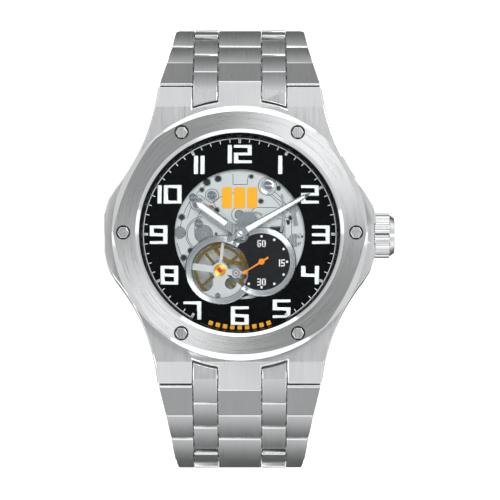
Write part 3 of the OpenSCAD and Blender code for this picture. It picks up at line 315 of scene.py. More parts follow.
dial_black = coated("dial lacquer, gloss black", "050506", 0.13, 0.03, 0.9 * MM, IOR=1.35)
rehaut_black = coated("flange lacquer, satin black", "060607", 0.3, 0.05, 0.5 * MM, IOR=1.35)
lume = coated("luminous paste, white", "f4f4f1", 0.55, 0.15, 0.12 * MM, spread=0.03)
numeral_white = coated("numeral enamel, white", "f2f3f2", 0.3, 0.04, 0.3 * MM, spread=0.02)
print_white = coated("pad print, white", "ececea", 0.6, 0.1, 0.1 * MM, spread=0.04)
orange = coated("hand lacquer, orange", "f08a1c", 0.32, 0.04, 0.3 * MM, spread=0.04)
amber = coated("enamel, amber yellow", "f5a800", 0.4, 0.04, 0.3 * MM, spread=0.03)
# Painted light: a matt white that stands in for light seen through the open movement.
painted_light_white = coated("matt white, painted light through the movement", "f2f2ef", 0.55, 0.1, 0.1 * MM, spread=0.04)
rubber = coated("moulded nitrile rubber, black", "0e0e0f", 0.7, 0.3, 0.1 * MM)
ruby = coated("synthetic ruby, polished", "c2123f", 0.08, 0.02, 0.4 * MM, Coat_Weight=0.5)


def clear_glass(name, tint):
    """A thin sheet with an anti-reflection coating: it shows what is under it with little glare."""
    material, tree, surface = new_material(name, tint, 0.0, 0.02, IOR=1.2,
                                           Transmission_Weight=1.0)
    place = add(tree, "ShaderNodeTexCoord")
    smear = add(tree, "ShaderNodeTexNoise", {"Vector": place.outputs["Object"],
                                             "Scale": 1 / (4 * MM), "Detail": 3.0})
    rough = add(tree, "ShaderNodeMapRange", {"Value": smear.outputs["Fac"], "To Min": 0.0,
                                             "To Max": 0.02})
    tree.links.new(rough.outputs["Result"], surface.inputs["Roughness"])
    clear = add(tree, "ShaderNodeBsdfTransparent", {"Color": colour(tint)})
    face = add(tree, "ShaderNodeLayerWeight", {"Blend": 0.12})
    dim = add(tree, "ShaderNodeMath", {0: face.outputs["Facing"], 1: 0.25}, operation="MULTIPLY")
    veil = add(tree, "ShaderNodeMixShader", {0: dim.outputs["Value"],
                                             1: clear.outputs["BSDF"],
                                             2: surface.outputs["BSDF"]})
    out = tree.nodes["Material Output"]
    tree.links.new(veil.outputs["Shader"], out.inputs["Surface"])
    return material


glass = clear_glass("mineral crystal, clear", "f8fafb")
print("materials", len(bpy.data.materials))

# %% [markdown]
# ## Softening a solid part
# A solid from CAD has knife edges, and nothing real has them. The part's mesh is copied, its loose
# triangles are joined, flat areas become single faces, and a Bevel modifier rounds each sharp edge.
# The bevel can give its new faces a second material, so a brushed part gets the bright polished
# edge that a bracelet maker cuts as a separate step.

# %% Soften a part
WELD = 0.001 * MM
FLAT_WITHIN = math.radians(0.3)
BODY_NODES = frame["record"]["behaviour"]["bodies"]


def link_new(name, mesh):
    piece = bpy.data.objects.new(name, mesh)
    bpy.context.collection.objects.link(piece)
    return piece


def mesh_from(name, work, materials=()):
    """Stores finished bmesh work as a mesh with its materials."""
    mesh = bpy.data.meshes.new(name)
    work.to_mesh(mesh)
    work.free()
    for material in materials:
        mesh.materials.append(material)
    return mesh


def mount(piece, body, node=None):
    """Says which body carries the piece and which node it replaces."""
    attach(piece, body)
    if node:
        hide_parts(node)
    return piece


def soft_piece(node, materials, width, sharp=30, segments=2, flanks=None, where=None,
               shape=None):
    """A piece named after the node, with rounded edges of `width` metres in the last material.
    `where` picks the edges to round by their middle point, and `shape` may move the mesh first."""
    source = frame["nodes"][node]
    mesh = source.data.copy()
    mesh.materials.clear()
    for material in materials:
        mesh.materials.append(material)
    work = bmesh.new()
    work.from_mesh(mesh)
    bmesh.ops.remove_doubles(work, verts=work.verts, dist=WELD)
    bmesh.ops.dissolve_limit(work, angle_limit=FLAT_WITHIN, verts=work.verts, edges=work.edges)
    if shape:
        shape(work)
    weight = work.edges.layers.float.new("bevel_weight_edge")
    for edge in work.edges:
        turn = edge.calc_face_angle(0.0)
        chosen = where is None or where((edge.verts[0].co + edge.verts[1].co) / 2)
        edge[weight] = 1.0 if turn > math.radians(sharp) and chosen else 0.0
    for face in work.faces:
        face.smooth = True
        side_on = flanks is not None and abs(face.normal.x) > flanks
        face.material_index = len(materials) - 1 if side_on else 0
    work.to_mesh(mesh)
    work.free()
    mesh.set_sharp_from_angle(angle=math.radians(sharp))
    piece = link_new(node + "_finished", mesh)
    if width:
        bevel = piece.modifiers.new("edge", "BEVEL")
        bevel.width = width
        bevel.segments = segments
        bevel.limit_method = "WEIGHT"
        bevel.use_clamp_overlap = False
        bevel.harden_normals = True
        bevel.material = len(materials) - 1
    home = next(body for body, nodes in BODY_NODES.items() if node in nodes)
    return mount(piece, home, node)


print("bodies with nodes", len(BODY_NODES))

# %% [markdown]
# ## The case
# Its top and ends are brushed along the bracelet and its flanks are polished. The side at 3 and
# 9 o'clock and the hollow waist face sideways, so the faces with a strong sideways normal take the
# polished steel.

# %% Case and case back
CASE_EDGE = 0.24 * MM
BACK_EDGE = 0.1 * MM
CROWN_ROOM = 5 * MM


def outside_case(point):
    """Edges outside the bezel, away from the round seat of the crown."""
    by_crown = point.x > 0.8 * BEZEL_R and abs(point.y) < CROWN_ROOM
    return point.xy.length > BEZEL_R + 0.05 * MM and not by_crown


case = soft_piece("case_middle", [steel_brushed, steel_polished], CASE_EDGE, segments=3,
                  flanks=0.6, where=outside_case)
soft_piece("case_back", [steel_brushed, steel_polished], BACK_EDGE)
print("case faces", len(case.data.polygons))

# %% [markdown]
# ## The bracelet
# Each unit has a centre link, two outer links and two intermediates, all brushed along the
# bracelet. A grinding belt gives way a little, so it leaves each outer face slightly bowed, and a
# bowed face changes its brightness from end to end. The rounded edges catch the light as bright
# lines. One function finishes every unit, because they differ only in size and place: it slices
# each link across, and then lowers the slices by a parabola. The bars inside a unit are shorter
# than a link, so they are left alone.

# %% Bracelet links
LINK_EDGE = 0.15 * MM
BOW = 0.32 * MM
LINK_HALF = 1.8 * MM
FACE_ZONE = 0.3 * MM
SHORTEST_HALF = 1.2 * MM
SLICES, OVERHANG = 11, 5
HINGE = {joint["name"]: Vector(joint["pos_m"]) for joint in frame["joints"] if "pos_m" in joint}
WRIST = Vector((0, 0, -0.4 * (DIAL_TOP - cad_box[0].z)))


def islands(work):
    """Lists of vertices, one list for each separate solid in the mesh."""
    left = set(work.verts)
    found = []
    while left:
        queue = [left.pop()]
        group = []
        while queue:
            vert = queue.pop()
            group.append(vert)
            for edge in vert.link_edges:
                other = edge.other_vert(vert)
                if other in left:
                    left.remove(other)
                    queue.append(other)
        found.append(group)
    return found


def bowed(start, finish):
    """A shape step that bows the outer face of each link of a unit between two hinges."""
    along = (finish - start).normalized()
    out = Vector((0, along.z, -along.y))
    if out.dot(start - WRIST) < 0:
        out = -out
    pitch = (finish - start).length

    def shape(work):
        for i in range(-OVERHANG, SLICES + OVERHANG):
            everything = work.verts[:] + work.edges[:] + work.faces[:]
            bmesh.ops.bisect_plane(work, geom=everything, plane_no=along,
                                   plane_co=start + along * pitch * i / SLICES)
        for group in islands(work):
            spots = [(vert.co - start).dot(along) for vert in group]
            middle_u, half_u = (max(spots) + min(spots)) / 2, (max(spots) - min(spots)) / 2
            if half_u < SHORTEST_HALF:
                continue
            for vert, spot in zip(group, spots):
                height = (vert.co - start).dot(out)
                if height > LINK_HALF - FACE_ZONE:
                    vert.co -= out * BOW * ((spot - middle_u) / half_u) ** 2

    return shape


def finish_link(side, number):
    first = "bracelet_flex" if (side, number) == ("6", 1) else f"flex_{side}_{number}"
    start = HINGE[first]
    far = {("6", 7): "flex_clasp"}.get((side, number), f"flex_{side}_{number + 1}")
    if far in HINGE:
        finish = HINGE[far]
    else:
        mirrored = HINGE["flex_clasp"]
        finish = Vector((0, -mirrored.y, mirrored.z))
    shape = bowed(start, finish) if number > 1 else None
    soft_piece(f"link_{side}_{number}", [steel_brushed, steel_polished], LINK_EDGE,
               segments=3, flanks=0.8, shape=shape, sharp=40)


for side in ("12", "6"):
    for number in range(1, 8):
        finish_link(side, number)
print("links finished: 14")

# %% [markdown]
# ## The clasp
# The blades inside the clasp are bent from sheet and fine brushed; the cover follows the bracelet.

# %% Clasp
BLADE_EDGE, COVER_EDGE, BUTTON_EDGE = 0.08 * MM, 0.15 * MM, 0.2 * MM
for node in ("clasp_inner_blade", "clasp_middle_blade"):
    soft_piece(node, [steel_satin, steel_polished], BLADE_EDGE)
soft_piece("clasp_cover", [steel_brushed, steel_polished], COVER_EDGE)
for node in ("clasp_button_a", "clasp_button_b"):
    soft_piece(node, [steel_polished], BUTTON_EDGE)
print("clasp finished: 3 leaves, 2 buttons")

# %% [markdown]
# ## The crown
# The crown is polished all over, with a fluted grip and a domed end. Its flutes meet at gentle
# angles, so the limit for a sharp edge is lower here.

# %% Crown
CROWN_EDGE = 0.09 * MM
crown = soft_piece("crown", [steel_polished], CROWN_EDGE, sharp=25)
print("crown faces", len(crown.data.polygons))

# %% [markdown]
# ## A ring with facets: the bezel
# The bezel is round, but six shallow facets are milled into its top edge, and each is polished.
# So its brushed face is wide where two facets meet and narrow at the middle of a facet. The ring
# is built as loops of points at 360 angles; only the outer edge of the brushed face changes its
# radius, by a parabola across each facet.

# %% Bezel shape
FACET_CORNERS = [0, 48, 132, 180, 228, 312, 360]
FACE_OUT_MAX = BEZEL_R - 0.2 * MM
FACET_DEPTH = 0.75 * MM
FACE_IN = 16.9 * MM
BORE = 16.32 * MM
FACET_SLOPE = 0.55
TOP_DROP = 0.06 * MM
BORE_DROP = 0.4 * MM
BEZEL_STEPS = 360
SMOOTH_BELOW = math.radians(20)


def face_edge(angle):
    """Outer radius of the brushed face at an angle in degrees."""
    for first, last in zip(FACET_CORNERS, FACET_CORNERS[1:]):
        if first <= angle < last:
            half = (last - first) / 2
            along = (angle - first - half) / half
            return FACE_OUT_MAX - FACET_DEPTH * (1 - along * along)
    return FACE_OUT_MAX


def ring_mesh(name, sections, materials, tags):
    """Joins closed sections, one per step round Z, into a ring; tags give each band's material."""
    work = bmesh.new()
    loops = [[work.verts.new(point) for point in section] for section in sections]
    steps, bands = len(loops), len(loops[0])
    for i in range(steps):
        here, there = loops[i], loops[(i + 1) % steps]
        for j in range(bands):
            k = (j + 1) % bands
            face = work.faces.new((here[j], there[j], there[k], here[k]))
            face.material_index = tags[j]
            face.smooth = True
    bmesh.ops.recalc_face_normals(work, faces=work.faces)
    mesh = mesh_from(name, work, materials)
    mesh.set_sharp_from_angle(angle=SMOOTH_BELOW)
    return mesh


def bezel_section(step):
    angle = 360 * step / BEZEL_STEPS
    turn = math.radians(angle)
    edge_r = face_edge(angle)
    drop = TOP_DROP + (BEZEL_R - edge_r) * FACET_SLOPE
    flat = [(BORE, BEZEL_LOW), (BEZEL_R, BEZEL_LOW), (BEZEL_R, BEZEL_TOP - drop),
            (edge_r, BEZEL_TOP), (FACE_IN, BEZEL_TOP), (BORE, BEZEL_TOP - BORE_DROP)]
    return [(r * math.cos(turn), r * math.sin(turn), z) for r, z in flat]


# The third slot, the painted shade steel, colours the walls of the screw sinks as painted shade.
BRUSHED, POLISHED = 0, 1
bezel_mesh = ring_mesh("bezel_ring", [bezel_section(i) for i in range(BEZEL_STEPS)],
                       [bezel_brushed, steel_polished, painted_shade_steel],
                       [POLISHED, POLISHED, POLISHED, BRUSHED, POLISHED, POLISHED])
bezel = link_new("bezel_ring", bezel_mesh)
print("bezel faces", len(bezel_mesh.polygons))

# %% [markdown]
# ## Six counterbores
# Each screw sits in a round sink. A Boolean modifier cuts six drums out of the ring; the drums
# carry the painted shade steel, and the cut walls take it over, so the sinks are painted dark as
# shade. The result is stored as a plain mesh.

# %% Cut the screw sinks
SCREWS = 6
SCREW_RING = 18.85 * MM
SINK_R = 1.17 * MM
SINK_DEPTH = 0.5 * MM


def baked(piece, name):
    """The piece with its modifiers applied, as a new plain mesh; the first piece is removed."""
    graph = bpy.context.evaluated_depsgraph_get()
    mesh = bpy.data.meshes.new_from_object(piece.evaluated_get(graph), depsgraph=graph)
    mesh.name = name
    bpy.data.objects.remove(piece)
    return mesh


def cut_away(piece, cutter, name, material_mode="INDEX", overlapping=False):
    """The piece less the cutter as a new plain piece; `overlapping` is for drums that cross."""
    cut = piece.modifiers.new("cut", "BOOLEAN")
    cut.operation = "DIFFERENCE"
    cut.object = cutter
    cut.solver = "EXACT"
    cut.material_mode = material_mode
    cut.use_self = overlapping
    left = link_new(name, baked(piece, name))
    bpy.data.objects.remove(cutter)
    return left


def drum(work, centre, radius, z0, z1, steps=48):
    made = bmesh.ops.create_cone(work, cap_ends=True, segments=steps, radius1=radius,
                                 radius2=radius, depth=z1 - z0)
    bmesh.ops.translate(work, verts=made["verts"], vec=(*centre, (z0 + z1) / 2))


def at_angle(radius, degrees):
    turn = math.radians(degrees)
    return Vector((radius * math.cos(turn), radius * math.sin(turn)))


cutter_work = bmesh.new()
for i in range(SCREWS):
    drum(cutter_work, at_angle(SCREW_RING, 360 / SCREWS * i), SINK_R, BEZEL_TOP - SINK_DEPTH,
         BEZEL_TOP + MM)
# The drums carry the painted shade steel that the sink walls take over.
cutter = link_new("screw_sinks", mesh_from("screw_sinks", cutter_work, [painted_shade_steel]))
bezel = cut_away(bezel, cutter, "bezel_finished", material_mode="TRANSFER")
for face in bezel.data.polygons:
    face.use_smooth = True
bezel.data.set_sharp_from_angle(angle=SMOOTH_BELOW)
mount(bezel, "case", "bezel")
print("bezel with sinks", len(bezel.data.polygons), "faces")

# %% [markdown]
# ## Things that repeat round the dial
# Screws, minute marks and dots all repeat round a centre, so one Geometry Nodes tree makes them.
# It takes a count, a radius, a first angle and a step, puts one shape at each place, turns it to
# face outwards, and gives the whole set its material.

# %% A tree that repeats a shape round a centre
def radial_tree(name):
    tree = bpy.data.node_groups.new(name, "GeometryNodeTree")
    face = tree.interface
    for label, kind in (("Part", "NodeSocketObject"), ("Count", "NodeSocketInt"),
                        ("Radius", "NodeSocketFloat"), ("First", "NodeSocketFloat"),
                        ("Step", "NodeSocketFloat"), ("Centre", "NodeSocketVector"),
                        ("Material", "NodeSocketMaterial")):
        face.new_socket(label, in_out="INPUT", socket_type=kind)
    face.new_socket("Geometry", in_out="OUTPUT", socket_type="NodeSocketGeometry")
    given = add(tree, "NodeGroupInput").outputs
    index = add(tree, "GeometryNodeInputIndex")
    turned = add(tree, "ShaderNodeMath", {0: index.outputs["Index"], 1: given["Step"],
                                          2: given["First"]}, operation="MULTIPLY_ADD")
    out_x = add(tree, "ShaderNodeMath", {0: turned.outputs["Value"]}, operation="COSINE")
    out_y = add(tree, "ShaderNodeMath", {0: turned.outputs["Value"]}, operation="SINE")
    heading = add(tree, "ShaderNodeCombineXYZ", {"X": out_x.outputs["Value"],
                                                 "Y": out_y.outputs["Value"]})
    reach = add(tree, "ShaderNodeVectorMath", {0: heading.outputs["Vector"],
                                               "Scale": given["Radius"]}, operation="SCALE")
    place = add(tree, "ShaderNodeVectorMath", {0: reach.outputs["Vector"], 1: given["Centre"]},
                operation="ADD")
    points = add(tree, "GeometryNodePoints", {"Count": given["Count"],
                                              "Position": place.outputs["Vector"]})
    spin = add(tree, "ShaderNodeCombineXYZ", {"Z": turned.outputs["Value"]})
    shape = add(tree, "GeometryNodeObjectInfo", {"Object": given["Part"]})
    copies = add(tree, "GeometryNodeInstanceOnPoints",
                 {"Points": points.outputs[0], "Instance": shape.outputs["Geometry"],
                  "Rotation": spin.outputs["Vector"]})
    real = add(tree, "GeometryNodeRealizeInstances", {"Geometry": copies.outputs["Instances"]})
    painted = add(tree, "GeometryNodeSetMaterial", {"Geometry": real.outputs["Geometry"],
                                                    "Material": given["Material"]})
    out = add(tree, "NodeGroupOutput")
    tree.links.new(painted.outputs["Geometry"], out.inputs["Geometry"])
    return tree


ROUND_CENTRE = radial_tree("repeat round a centre")


def repeated(name, part, material, body, count, radius, first, step, centre):
    """Runs the tree once and keeps its result as a plain mesh; angles are in degrees."""
    holder = link_new(name + "_holder", bpy.data.meshes.new(name + "_holder"))
    nodes = holder.modifiers.new("repeat", "NODES")
    nodes.node_group = ROUND_CENTRE
    values = {"Part": part, "Count": count, "Radius": radius, "First": math.radians(first),
              "Step": math.radians(step), "Centre": centre, "Material": material}
    for item in ROUND_CENTRE.interface.items_tree:
        if item.in_out == "INPUT":
            nodes[item.identifier] = values[item.name]
    piece = link_new(name, baked(holder, name))
    bpy.data.objects.remove(part)
    print(name, count, "copies,", len(piece.data.polygons), "faces")
    return mount(piece, body)


# %% [markdown]
# ## Bezel screws
# A screw head here is a hexagon with a broken edge and a straight slot. Cutting the slot with a
# small box gives the true shape; a bevel gives the edge that shines.

# %% Bezel screws
ROUND_ABOVE = math.radians(25)


def prism(work, points, z0, z1):
    foot = [work.verts.new((x, y, z0)) for x, y in points]
    top = [work.verts.new((x, y, z1)) for x, y in points]
    work.faces.new(foot[::-1])
    work.faces.new(top)
    for i, here in enumerate(foot):
        j = (i + 1) % len(foot)
        work.faces.new((here, foot[j], top[j], top[i]))


def solid_from(name, outlines, z0, z1, materials, bevel=0.0, segments=2):
    """Prisms from flat outlines between two heights, with a live rounded edge."""
    work = bmesh.new()
    for points in outlines:
        prism(work, points, z0, z1)
    bmesh.ops.recalc_face_normals(work, faces=work.faces)
    piece = link_new(name, mesh_from(name, work, materials))
    if bevel:
        edge = piece.modifiers.new("edge", "BEVEL")
        edge.width = bevel
        edge.segments = segments
        edge.limit_method = "ANGLE"
        edge.angle_limit = ROUND_ABOVE
        edge.material = len(materials) - 1
        edge.use_clamp_overlap = False
    return piece


def box_points(x0, y0, x1, y1):
    return [(x0, y0), (x1, y0), (x1, y1), (x0, y1)]


def round_points(radius, steps, centre=(0, 0)):
    return [tuple(at_angle(radius, 360 * i / steps) + Vector(centre)) for i in range(steps)]


HEAD_R = 1.0 * MM
HEAD_TOP = high("bezel_screws").z
HEAD_BASE = BEZEL_TOP - SINK_DEPTH
SLOT_HALF, SLOT_REACH = 0.15 * MM, 2 * MM
SLOT_FLOOR = HEAD_TOP - 0.2 * MM
head = solid_from("head", [round_points(HEAD_R, 6)], HEAD_BASE, HEAD_TOP, [steel_polished],
                  bevel=0.1 * MM)
slot_box = box_points(-SLOT_REACH, -SLOT_HALF, SLOT_REACH, SLOT_HALF)
slot_cutter = solid_from("slot", [slot_box], SLOT_FLOOR, HEAD_TOP + MM, [steel_polished])
head = cut_away(head, slot_cutter, "screw_head")
screws = repeated("bezel_screw_heads", head, steel_satin, "case", SCREWS,
                  SCREW_RING, 0, 360 / SCREWS, (0, 0, 0))
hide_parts("bezel_screws")

# %% [markdown]
# ## Dial, flange and minute track
# The dial ring is lacquered and polished like a piano. The sloping flange round it is satin black.
# The minute track is printed: a thin line with a tick at each minute, left open round 6 o'clock.
# Print is only a few hundredths of a millimetre thick, yet that is enough to lift it off the dial.

# %% Dial and flange
def dress(node, material):
    """Keeps a CAD node as it is and gives it a material."""
    piece = frame["nodes"][node]
    for place in piece.material_slots:
        place.link = "OBJECT"
        place.material = material


dress("dial", dial_black)
dress("rehaut", rehaut_black)
TRACK_R = 15.66 * MM
PRINT = 0.02 * MM
TICK_LONG = 0.62 * MM
TICK_WIDE = 0.13 * MM
HOUR_TICK_LONG = 0.75 * MM
HOUR_TICK_WIDE = 0.4 * MM
PRINT_LOW = DIAL_TOP - PRINT
PRINT_TOP = DIAL_TOP + PRINT


def tick(length, width):
    return solid_from("tick", [box_points(-length, -width / 2, 0, width / 2)], PRINT_LOW,
                      PRINT_TOP, [print_white])


# The track runs from 35 minutes round through 12 o'clock to 25 minutes, so from -60 to 240 degrees.
TRACK_FIRST, TRACK_LAST = -60, 240
MINUTE, HOUR = 6, 30
TRACK = TRACK_LAST - TRACK_FIRST
repeated("minute_ticks", tick(TICK_LONG, TICK_WIDE), print_white, "case",
         TRACK // MINUTE + 1, TRACK_R, TRACK_FIRST, MINUTE, (0, 0, 0))
repeated("hour_ticks", tick(HOUR_TICK_LONG, HOUR_TICK_WIDE), print_white, "case",
         TRACK // HOUR + 1, TRACK_R, TRACK_FIRST, HOUR, (0, 0, 0))


def arc_points(radius, first, last, steps):
    return [tuple(at_angle(radius, first + (last - first) * i / steps)) for i in range(steps + 1)]


line_steps = 180
track_outline = (arc_points(TRACK_R + 0.04 * MM, TRACK_FIRST, TRACK_LAST, line_steps)
                 + arc_points(TRACK_R - 0.06 * MM, TRACK_LAST, TRACK_FIRST, line_steps))
track = solid_from("minute_track_line", [track_outline], PRINT_LOW, PRINT_TOP, [print_white])
mount(track, "case")

# %% [markdown]
# ## Numerals
# The numerals are stamped from white metal and applied to the dial. Their tops are white and their
# broken edges are left bright, so each stroke has a silver outline.

# %% Numerals
NUMERAL_EDGE = 0.1 * MM
numerals = soft_piece("hour_numerals", [numeral_white, steel_polished], NUMERAL_EDGE)
numerals.modifiers["edge"].harden_normals = False
print("numeral faces", len(numerals.data.polygons))

# %% [markdown]
# ## Hands
# A hand is a thin steel body with a strip of lume let into its top. The body is drawn as an outline
# along its own axis, and half of the outline is enough, because the other half mirrors it. Its
# edges are cut to one wide facet. The lume is a slim bar that stands a few hundredths proud, and it
# rides on the same arbor as the hand.

# %% Drawing a hand
def turned_points(points, degrees, centre=(0, 0)):
    turn = math.radians(degrees)
    c, s = math.cos(turn), math.sin(turn)
    return [(x * c - y * s + centre[0], x * s + y * c + centre[1]) for x, y in points]


def in_mm(points):
    return [(x * MM, y * MM) for x, y in points]


def both_edges(upper):
    """An outline that is the same above and below its own axis."""
    return upper + [(x, -y) for x, y in reversed(upper)]


def hand(name, node, outline, degrees, centre, z0, z1, material, bevel, body):
    """One flat part of a hand, drawn pointing along +X and then turned."""
    turned = turned_points(in_mm(outline), degrees, centre)
    piece = solid_from(name, [turned], z0, z1, [material], bevel=bevel, segments=1)
    return mount(piece, body, node)


def stands_on(node):
    return low(node).z, high(node).z


# %% [markdown]
# ## Three hands
# Angles are counted from 3 o'clock, against the clock. At rest the hour hand points a little past
# 10 and the minute hand at 2, as in most advertisements. Each hand is placed at the height of the
# CAD part that it stands in for.

# %% Hour, minute and seconds hands
HOUR_AT, MINUTE_AT, SECONDS_HAND_AT = 144, 30, 212
LUME_LOW, LUME_HIGH = 0.05 * MM, 0.03 * MM
FACET, FINE_FACET = 0.16 * MM, 0.02 * MM
CENTRE = (0, 0)
HOUR_BODY = both_edges([(-1.25, 0.4), (0.4, 1.05), (1.2, 0.74), (2.9, 0.74), (8.0, 0.72),
                        (9.15, 0.12)])
HOUR_LUME = both_edges([(2.75, 0.38), (7.9, 0.4), (8.6, 0.1)])
MINUTE_BODY = both_edges([(-2.4, 0.38), (-0.8, 0.42), (0.2, 0.8), (1.1, 0.66), (12.1, 0.36),
                          (13.25, 0.04)])
MINUTE_LUME = both_edges([(1.35, 0.42), (11.9, 0.17), (12.2, 0.03)])
SECONDS_BODY = both_edges([(-1.3, 0.17), (-0.5, 0.14), (-0.36, 0.36), (0, 0.52), (0.36, 0.36),
                           (0.5, 0.14), (2.75, 0.1), (2.85, 0.24), (3.6, 0.24)])
hour_z, hour_top = stands_on("hour_hand")
minute_z, minute_top = stands_on("minute_hand")
seconds_z, seconds_top = stands_on("seconds_hand")
hand("hour_hand_body", "hour_hand", HOUR_BODY, HOUR_AT, CENTRE, hour_z, hour_top, steel_satin,
     FACET, "hour_pipe")
hand("hour_lume", None, HOUR_LUME, HOUR_AT, CENTRE, hour_top - LUME_LOW, hour_top + LUME_HIGH,
     lume, FINE_FACET, "hour_pipe")
hand("minute_hand_body", "minute_hand", MINUTE_BODY, MINUTE_AT, CENTRE, minute_z, minute_top,
     steel_satin, FACET, "minute_arbor")
hand("minute_lume", None, MINUTE_LUME, MINUTE_AT, CENTRE, minute_top - LUME_LOW,
     minute_top + LUME_HIGH, lume, FINE_FACET, "minute_arbor")
hand("seconds_hand_body", "seconds_hand", SECONDS_BODY, SECONDS_HAND_AT, SECONDS_AT, seconds_z,
     seconds_top, orange, FINE_FACET, "seconds_arbor")
print("hands stand from", round(hour_z / MM, 2), "to", round(minute_top / MM, 2), "mm")

# %% [markdown]
# ## The turned parts in the middle
# A cap that holds the minute hand is turned on a lathe, and so are the domed stud on the plate and
# the gold setting of the balance jewel. A lathe part is one outline spun round its axis, so one
# function makes them all from a list of radii and heights. The cap narrows under the hand, so that
# it clears the wheel beside it.

# %% Lathe and centre cap
def lathe(name, profile, centre, materials, tags=None, steps=64):
    """Spins (radius, height) points given from the foot to the top; both ends are closed."""
    sections = []
    for step in range(steps):
        turn = math.tau * step / steps
        sections.append([(centre[0] + r * math.cos(turn), centre[1] + r * math.sin(turn), z)
                         for r, z in profile])
    mesh = ring_mesh(name, sections, materials, tags or [0] * len(profile))
    return link_new(name, mesh)


def turned_profile(level, points):
    """(radius, height) points in millimetres, with heights counted from a level in metres."""
    return [(r * MM, level + z * MM) for r, z in points]


BESIDE_AXIS = 0.001
DOME_STEPS = 8


def dome_profile(radius, z0, z1, foot=0.3):
    """A short upright wall and a round top that ends just beside the axis."""
    wall = z0 + foot * (z1 - z0)
    out = [(BESIDE_AXIS * radius, z0), (radius, z0)]
    for i in range(DOME_STEPS + 1):
        a = math.radians(90 * i / DOME_STEPS)
        out.append((radius * max(math.cos(a), BESIDE_AXIS), wall + (z1 - wall) * math.sin(a)))
    return out


CAP_R, SHANK_R = 0.52 * MM, 0.3 * MM
cap_foot, cap_top = stands_on("cannon_pinion")
shank = [(BESIDE_AXIS * MM, cap_foot), (SHANK_R, cap_foot), (SHANK_R, minute_z)]
cap_head = dome_profile(CAP_R, minute_z, cap_top, foot=0.5)[1:]
cap = lathe("hand_cap", shank + cap_head, CENTRE, [steel_satin])
mount(cap, "minute_arbor", "cannon_pinion")
print("cap stands", round((cap_top - DIAL_TOP) / MM, 2), "mm over the dial")

# %% [markdown]
# ## The subdials
# The small seconds at 4:30 is a black disc with a fine square grid, eight square dots and the
# numbers 60, 15 and 30. A turned frame shaped like a figure of eight surrounds it and the opening
# over the balance.

# %% Frame and seconds disc
def grid_lacquer(name, base, pitch):
    """Black lacquer over a stamped grid: a wave in X and one in Y, with the lower one kept."""
    material, tree, surface = new_material(name, base, 0.0, 0.35, IOR=1.35)
    place = add(tree, "ShaderNodeTexCoord")
    scale = math.pi / (10 * pitch)
    lines = [add(tree, "ShaderNodeTexWave", {"Vector": place.outputs["Object"], "Scale": scale},
                 bands_direction=axis) for axis in ("X", "Y")]
    both = add(tree, "ShaderNodeMath", {0: lines[0].outputs["Fac"], 1: lines[1].outputs["Fac"]},
               operation="MINIMUM")
    shade = add(tree, "ShaderNodeMix", {"Factor": both.outputs["Value"], 6: colour("010102"),
                                        7: colour("101013")}, data_type="RGBA")
    tree.links.new(shade.outputs[2], surface.inputs["Base Color"])
    relief = add(tree, "ShaderNodeBump", {"Height": both.outputs["Value"], "Strength": 0.6,
                                          "Distance": 0.03 * MM})
    tree.links.new(relief.outputs["Normal"], surface.inputs["Normal"])
    return material


seconds_black = grid_lacquer("seconds dial lacquer, stamped grid", "050506", 0.32 * MM)
dress("seconds_dial", seconds_black)
SUB_R, SUB_RIM = 4.65 * MM, 1.0 * MM
CENTRE_ROOM = 1.5 * MM


def frame_ring(name, centre, other, finish):
    """A sloping ring round one subdial, cut away where it would cross the other opening."""
    outer = SUB_R + SUB_RIM
    profile = [(SUB_R, DIAL_TOP), (outer, DIAL_TOP), (outer, FRAME_TOP - 0.12 * MM),
               (outer - 0.14 * MM, FRAME_TOP), (SUB_R + 0.1 * MM, DIAL_TOP + 0.06 * MM)]
    ring = lathe(name + "_whole", profile, centre, [finish, steel_polished],
                 [0, 1, 1, 0, 0], steps=120)
    work = bmesh.new()
    drum(work, other, SUB_R, DIAL_TOP - MM, FRAME_TOP + MM, steps=96)
    drum(work, CENTRE, CENTRE_ROOM, DIAL_TOP - MM, FRAME_TOP + 2 * MM)
    cutter = link_new(name + "_cutter", mesh_from(name + "_cutter", work))
    piece = cut_away(ring, cutter, name, overlapping=True)
    return mount(piece, "case")


balance_frame = frame_ring("balance_frame", BALANCE_AT, SECONDS_AT, frame_round_balance)
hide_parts("subdial_frame")
frame_ring("seconds_frame", SECONDS_AT, BALANCE_AT, frame_round_seconds)

# %% Dots on the seconds disc
SECONDS_TOP = high("seconds_dial").z
DOT_R = 4.15 * MM
DOT = 0.17 * MM
dot = solid_from("dot", [box_points(-DOT, -DOT, DOT, DOT)], SECONDS_TOP - PRINT,
                 SECONDS_TOP + PRINT, [print_white])
DOTS, FIRST_DOT, DOT_STEP = 8, -120, 30
repeated("seconds_dots", dot, print_white, "case", DOTS, DOT_R, FIRST_DOT, DOT_STEP,
         (*SECONDS_AT, 0))

# %% [markdown]
# ## Small printed numbers
# Each digit is made of straight strokes on a small grid, which suits a bold condensed face. A
# stroke is one box, and boxes that overlap read as one printed shape.

# %% Numbers on the seconds disc
DIGIT_W, DIGIT_H, STROKE = 0.62 * MM, 1.16 * MM, 0.19 * MM
STROKES = {
    "0": ["left", "right", "top", "foot"],
    "1": ["right"],
    "3": ["right", "top", "foot", "waist"],
    "5": ["top", "foot", "waist", "upper left", "lower right"],
    "6": ["left", "top", "foot", "waist", "lower right"],
}
BARS = {
    "left": (0, 0, STROKE, DIGIT_H),
    "right": (DIGIT_W - STROKE, 0, DIGIT_W, DIGIT_H),
    "top": (0, DIGIT_H - STROKE, DIGIT_W, DIGIT_H),
    "foot": (0, 0, DIGIT_W, STROKE),
    "waist": (0, (DIGIT_H - STROKE) / 2, DIGIT_W, (DIGIT_H + STROKE) / 2),
    "upper left": (0, DIGIT_H / 2, STROKE, DIGIT_H),
    "lower right": (DIGIT_W - STROKE, 0, DIGIT_W, DIGIT_H / 2),
}


DIGIT_GAP = 0.14 * MM


